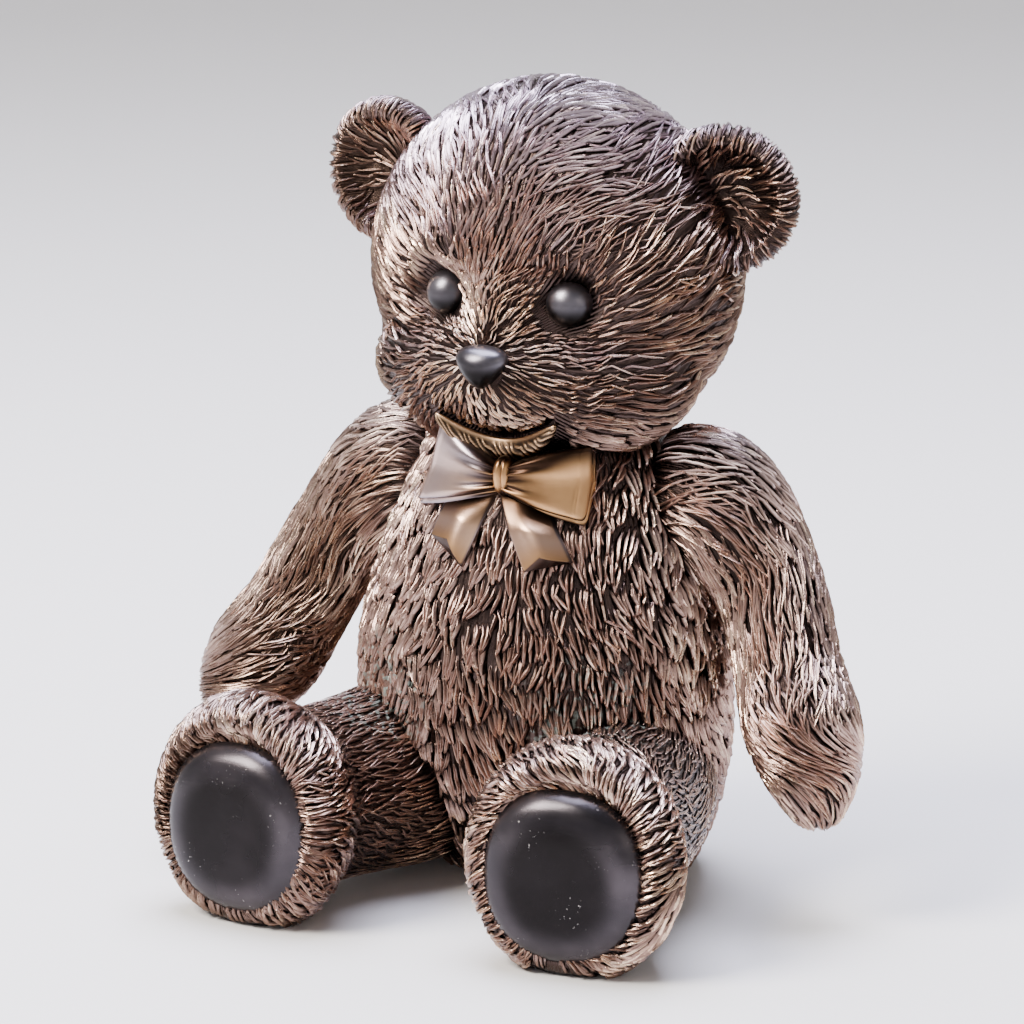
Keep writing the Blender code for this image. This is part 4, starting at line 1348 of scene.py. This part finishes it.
def loop_surface(corners, puff, down=0.0, back=0.0):
    """A puffed ribbon loop: a rounded section carried from the knot to the loop's outer fold.

    The corners give the upper and lower edge at the knot, in the middle and at the outer end.
    Folds run out from the knot and fade away, and a bead lies along the outer fold.
    """
    top, bottom = (np.array(edge, float) - (0, down) for edge in corners)

    def surface(along, turn):
        share, level = loop_share(along, turn)
        upper, lower = through(top, share), through(bottom, share)
        closing = np.sqrt(np.clip(1 - ((share - 0.95) / 0.05).clip(0, 1) ** 2, 0, 1))
        opening = np.sqrt(np.clip(share / 0.03, 0, 1))
        cosine = np.cos(tau * turn)
        middle, half = (upper + lower) / 2, (upper - lower) / 2
        place = middle + half * (level * (0.8 + 0.2 * closing) * opening)[..., None]
        thickness = (EDGE_THICKNESS + puff * np.sin(pi * share ** 0.8) ** 0.7) * closing * opening
        folds = FOLD_RISE * loop_folds(share, level)
        bead = BEAD_RISE * np.exp(-((share - BEAD_SHARE) / BEAD_SPREAD) ** 2) * closing
        rounded = np.sign(cosine) * np.abs(cosine) ** 0.7
        front = np.clip(rounded, 0, 1)
        across = BOW_ACROSS + place[..., 0]
        height = BOW_HEIGHT + place[..., 1]
        under = chest_depth(across, np.minimum(height, BOW_HEIGHT)) - BOW_STAND_OFF - LOOP_LEAN * share
        depth = under - rounded * thickness - front * (folds + bead) + back
        return np.stack([across, depth, height], axis=-1)

    return surface


# Each loop's upper edge and lower edge, from the knot to the outer fold, as seen from the front.
RIGHT_LOOP = (((0, 4), (-12, 10.5), (-27.5, 18)), ((0, -4), (-17, -8.5), (-38, -13)))
LEFT_LOOP = (((0, 4), (16, 10.5), (31.5, 13)), ((0, -4), (14, -9), (32, -14)))
LOOP_PUFF = {"right": 4.0, "left": 4.8}
# The loop on the bear's right gets a painted reflection of the sky, and the other one doesn't.
LOOP_SKY_REFLECTION = {"right": 0.7, "left": 0.0}
BACK_PUFF, BACK_LOWER, BACK_BEHIND = 1.4, 2.2, 2.6
for word, loop in (("right", RIGHT_LOOP), ("left", LEFT_LOOP)):
    marks = loop_marks(LOOP_SKY_REFLECTION[word])
    behind = loop_surface(loop, BACK_PUFF, BACK_LOWER, BACK_BEHIND)
    smooth_piece(f"bow_{word}_loop", loop_surface(loop, LOOP_PUFF[word]), 90, 96, BOW_LOOK, marks)
    smooth_piece(f"bow_{word}_loop_back", behind, 60, 48, BOW_LOOK, marks)

# %% [markdown]
# A tail is a strip of ribbon that hangs from under the knot, widens and ends in a notch. Each row
# of its grid runs straight from one edge to the other, and the end of each line across is found
# between the two tips and the notch. It lies on the chest, so its depth follows the chest's.

# %% Tails of the bow
TAIL_THICKNESS, TAIL_SWELL, TAIL_WAVE, TAIL_TUCKED = 0.8, 2.4, 0.8, 2.2


def tail_surface(top, left, notch, right, stand_out):
    """A ribbon end that hangs from its top edge to two tips, with a notch between them."""
    corners = [np.array(point, float) for point in (*top, left, notch, right)]
    top_left, top_right, left, notch, right = corners

    def surface(along, turn):
        angle = tau * turn
        cosine, sine = np.cos(angle), np.sin(angle)
        side = (np.sign(cosine) * np.abs(cosine) ** 0.6 + 1) / 2
        low = np.where(
            (side < 0.5)[..., None], left + (notch - left) * (2 * side)[..., None],
            notch + (right - notch) * (2 * side - 1)[..., None])
        start = top_left + (top_right - top_left) * side[..., None]
        place = start + (low - start) * along[..., None]
        ends = np.clip(along / 0.02, 0, 1) * np.clip((1 - along) / 0.02, 0, 1)
        thickness = TAIL_THICKNESS * np.sign(sine) * np.abs(sine) ** 0.45 * np.sqrt(ends)
        swell = TAIL_SWELL * np.sin(pi * side) ** 0.7 * ramp(along, 0.0, 0.5)
        wave = TAIL_WAVE * np.cos(7 * side + 2) * np.sin(pi * along * 0.8)
        across, height = place[..., 0], place[..., 1]
        lower = stand_out - TAIL_TUCKED * (1 - ramp(along, 0.05, 0.5))
        depth = chest_depth(across, height) - lower - thickness - swell - wave
        return np.stack([across, depth, height], axis=-1)

    return surface


def tail_marks(along, turn):
    """Darker near the knot, as painted shade, and at the edges, with a painted reflection of the sky part
    way down.
    """
    edge = ramp(np.abs(np.cos(tau * turn)), 0.8, 1.0) + ramp(along, 0.955, 0.985)
    crest = 0.1 + 0.75 * ramp(along, 0.1, 0.6) - 0.8 * edge
    return {"crest": crest, "sky": 0.35 * np.exp(-((along - 0.6) / 0.25) ** 2)}


# The two ends of the upper edge, then the left tip, the notch and the right tip.
RIGHT_TAIL = ((-21, 150), (1, 154)), (-24.6, 135.6), (-14.8, 136), (-8, 126.6)
LEFT_TAIL = ((1, 154), (22, 148)), (17.6, 127), (23.5, 133), (33.3, 131)
TAIL_STAND_OUT = {"right": 4.2, "left": 5.2}
for word, tail in (("right", RIGHT_TAIL), ("left", LEFT_TAIL)):
    strip = tail_surface(*tail, TAIL_STAND_OUT[word])
    smooth_piece(f"bow_{word}_tail", strip, 60, 64, BOW_LOOK, tail_marks)

# %% [markdown]
# The knot is a short barrel with a waist, and one crease where the ribbon was pulled tight. The
# ball from the eyes makes it, with a power below 1 that fills out its ends.

# %% Knot of the bow
KNOT_RADII, KNOT_FULLNESS, KNOT_WAIST, KNOT_CREASE = (4.6, 5.6, 7.4), 0.75, 0.18, 0.9
KNOT_SHIFT = np.array((1.5, -1.4, 1.2))


def knot_surface(along, turn):
    """A barrel with a crease pulled down its front."""
    point = ball((0, 0, 0), KNOT_RADII, KNOT_FULLNESS)(along, turn)
    crease = np.exp(-((point[..., 0] - 0.6) / 0.9) ** 2) * np.clip(-point[..., 1] / 5, 0, 1)
    point[..., 0] *= 1 - KNOT_WAIST * np.cos(point[..., 2] / KNOT_RADII[2] * pi / 2)
    point[..., 1] += KNOT_CREASE * crease
    return point + (BOW_ACROSS, chest_depth(0, BOW_HEIGHT) - BOW_STAND_OFF, BOW_HEIGHT) + KNOT_SHIFT


def knot_marks(along, turn):
    """Dark above and below, where the knot is pulled tight, and in its crease: patina in the creases and
    painted shade.
    """
    across, _, height = np.moveaxis(ball((0, 0, 0), (1, 1, 1), KNOT_FULLNESS)(along, turn), -1, 0)
    return {"crest": 1.0 - ramp(np.abs(height), 0.5, 1.0) - 0.6 * np.exp(-((across - 0.15) / 0.2) ** 2)}


smooth_piece("bow_knot", knot_surface, 40, 56, BOW_LOOK, knot_marks)

# %% [markdown]
# ## Floor
# Bronze shows what stands round it, so it needs something plain and pale to reflect. A flat floor
# would end in a dark line. This one is a wide bowl that bends up into a wall all the way round, so
# that the bear can be looked at from any side. It is a turned profile, in metres.

# %% Floor and backdrop
FLOOR_RADIUS, FLOOR_BEND, WALL_HEIGHT, FLOOR_SIDES = 2.3, 1.1, 3.2, 96
FLOOR_HUB, BEND_STEPS = 0.01, 20
quarter = np.linspace(0, pi / 2, BEND_STEPS)
floor_reach = np.concatenate([
    [FLOOR_HUB], FLOOR_RADIUS + FLOOR_BEND * np.sin(quarter), [FLOOR_RADIUS + FLOOR_BEND]])
floor_rise = np.concatenate([[0.0], FLOOR_BEND * (1 - np.cos(quarter)), [WALL_HEIGHT]])
spoke = tau * np.arange(FLOOR_SIDES) / FLOOR_SIDES
floor_points = np.stack([
    floor_reach[:, None] * np.cos(spoke), floor_reach[:, None] * np.sin(spoke),
    floor_rise[:, None] + 0 * spoke], axis=-1).reshape(-1, 3)
ring, step = np.meshgrid(np.arange(len(floor_reach) - 1), np.arange(FLOOR_SIDES), indexing="ij")
here = (ring * FLOOR_SIDES + step).ravel()
beside = (ring * FLOOR_SIDES + (step + 1) % FLOOR_SIDES).ravel()
floor_quads = np.stack([here, here + FLOOR_SIDES, beside + FLOOR_SIDES, beside], axis=1)
floor_mesh = bpy.data.meshes.new("floor")
floor_mesh.from_pydata(floor_points.tolist(), [], floor_quads.tolist() + [list(range(FLOOR_SIDES))])
floor_mesh.shade_smooth()
floor = bpy.data.objects.new("floor", floor_mesh)
bpy.context.scene.collection.objects.link(floor)
floor_look = Look("pale_floor", 0.0, 0.7)
floor_look.set("Base Color", colour(0.66, 0.655, 0.645))
floor_mesh.materials.append(floor_look.material)
print("the floor is", 2 * (FLOOR_RADIUS + FLOOR_BEND), "m across")

# %% [markdown]
# ## Lights
# The photograph was taken out of doors: warm light from above on the camera's left, and a cool sky
# overhead that gives the upward faces of dark bronze a lilac sheen. Large square lamps stand in for
# both, because a small lamp would make every lock sparkle. A third one on the far side is only just
# there. Places are in metres, and power is in watts.

# %% Lights
TARGET = Vector((0, -0.02, 0.15))


def softbox(name, place, size, power, tint):
    """A square lamp at a place that faces the middle of the bear."""
    light = bpy.data.lights.new(name, "AREA")
    light.energy = power
    light.size = size
    light.color = tint
    lamp = bpy.data.objects.new(name, light)
    lamp.location = place
    lamp.rotation_euler = (TARGET - Vector(place)).to_track_quat("-Z", "Y").to_euler()
    bpy.context.scene.collection.objects.link(lamp)


softbox("key", (-1.0, -1.35, 1.85), 1.0, 155, (1.0, 0.93, 0.86))
softbox("overhead", (-0.15, 0.2, 1.6), 1.2, 110, (0.8, 0.81, 1.0))
softbox("side", (1.7, -0.5, 0.8), 0.6, 1.5, (1.0, 0.9, 0.8))
AIR_COLOUR, AIR_STRENGTH = colour(0.75, 0.8, 0.9), 0.3
world = bpy.data.worlds.new("studio")
world.use_nodes = True
world.node_tree.nodes["Background"].inputs["Color"].default_value = AIR_COLOUR
world.node_tree.nodes["Background"].inputs["Strength"].default_value = AIR_STRENGTH
bpy.context.scene.world = world
print(len(bpy.data.lights), "lamps")

# %% [markdown]
# ## Camera
# The photograph looks at the bear from its left and a little above, through a long lens that
# flattens it. The angles were found by laying renders over the photograph until the ears, the pads
# and the eyes fell on theirs. The camera doesn't aim at a point, but is moved sideways and up in
# its own frame, so that framing never changes the angle.

# %% Camera
VIEW_TURN, VIEW_RISE = radians(27), radians(13.5)
CAMERA_DISTANCE, CAMERA_RIGHT, CAMERA_UP = 2.02, -0.0164, 0.1315
SENSOR_WIDTH, FOCAL_LENGTH = 36.0, 186.3
back = Vector((sin(VIEW_TURN) * cos(VIEW_RISE), -cos(VIEW_TURN) * cos(VIEW_RISE), sin(VIEW_RISE)))
right = Vector((cos(VIEW_TURN), sin(VIEW_TURN), 0))
up = back.cross(right)
place = back * CAMERA_DISTANCE + right * CAMERA_RIGHT + up * CAMERA_UP
camera = bpy.data.objects.new("camera", bpy.data.cameras.new("camera"))
camera.data.sensor_width = SENSOR_WIDTH
camera.data.lens = FOCAL_LENGTH
camera.matrix_world = Matrix.Translation(place) @ Matrix((right, up, back)).transposed().to_4x4()
bpy.context.scene.collection.objects.link(camera)
bpy.context.scene.camera = camera
print("the camera stands at", [round(value, 3) for value in place])
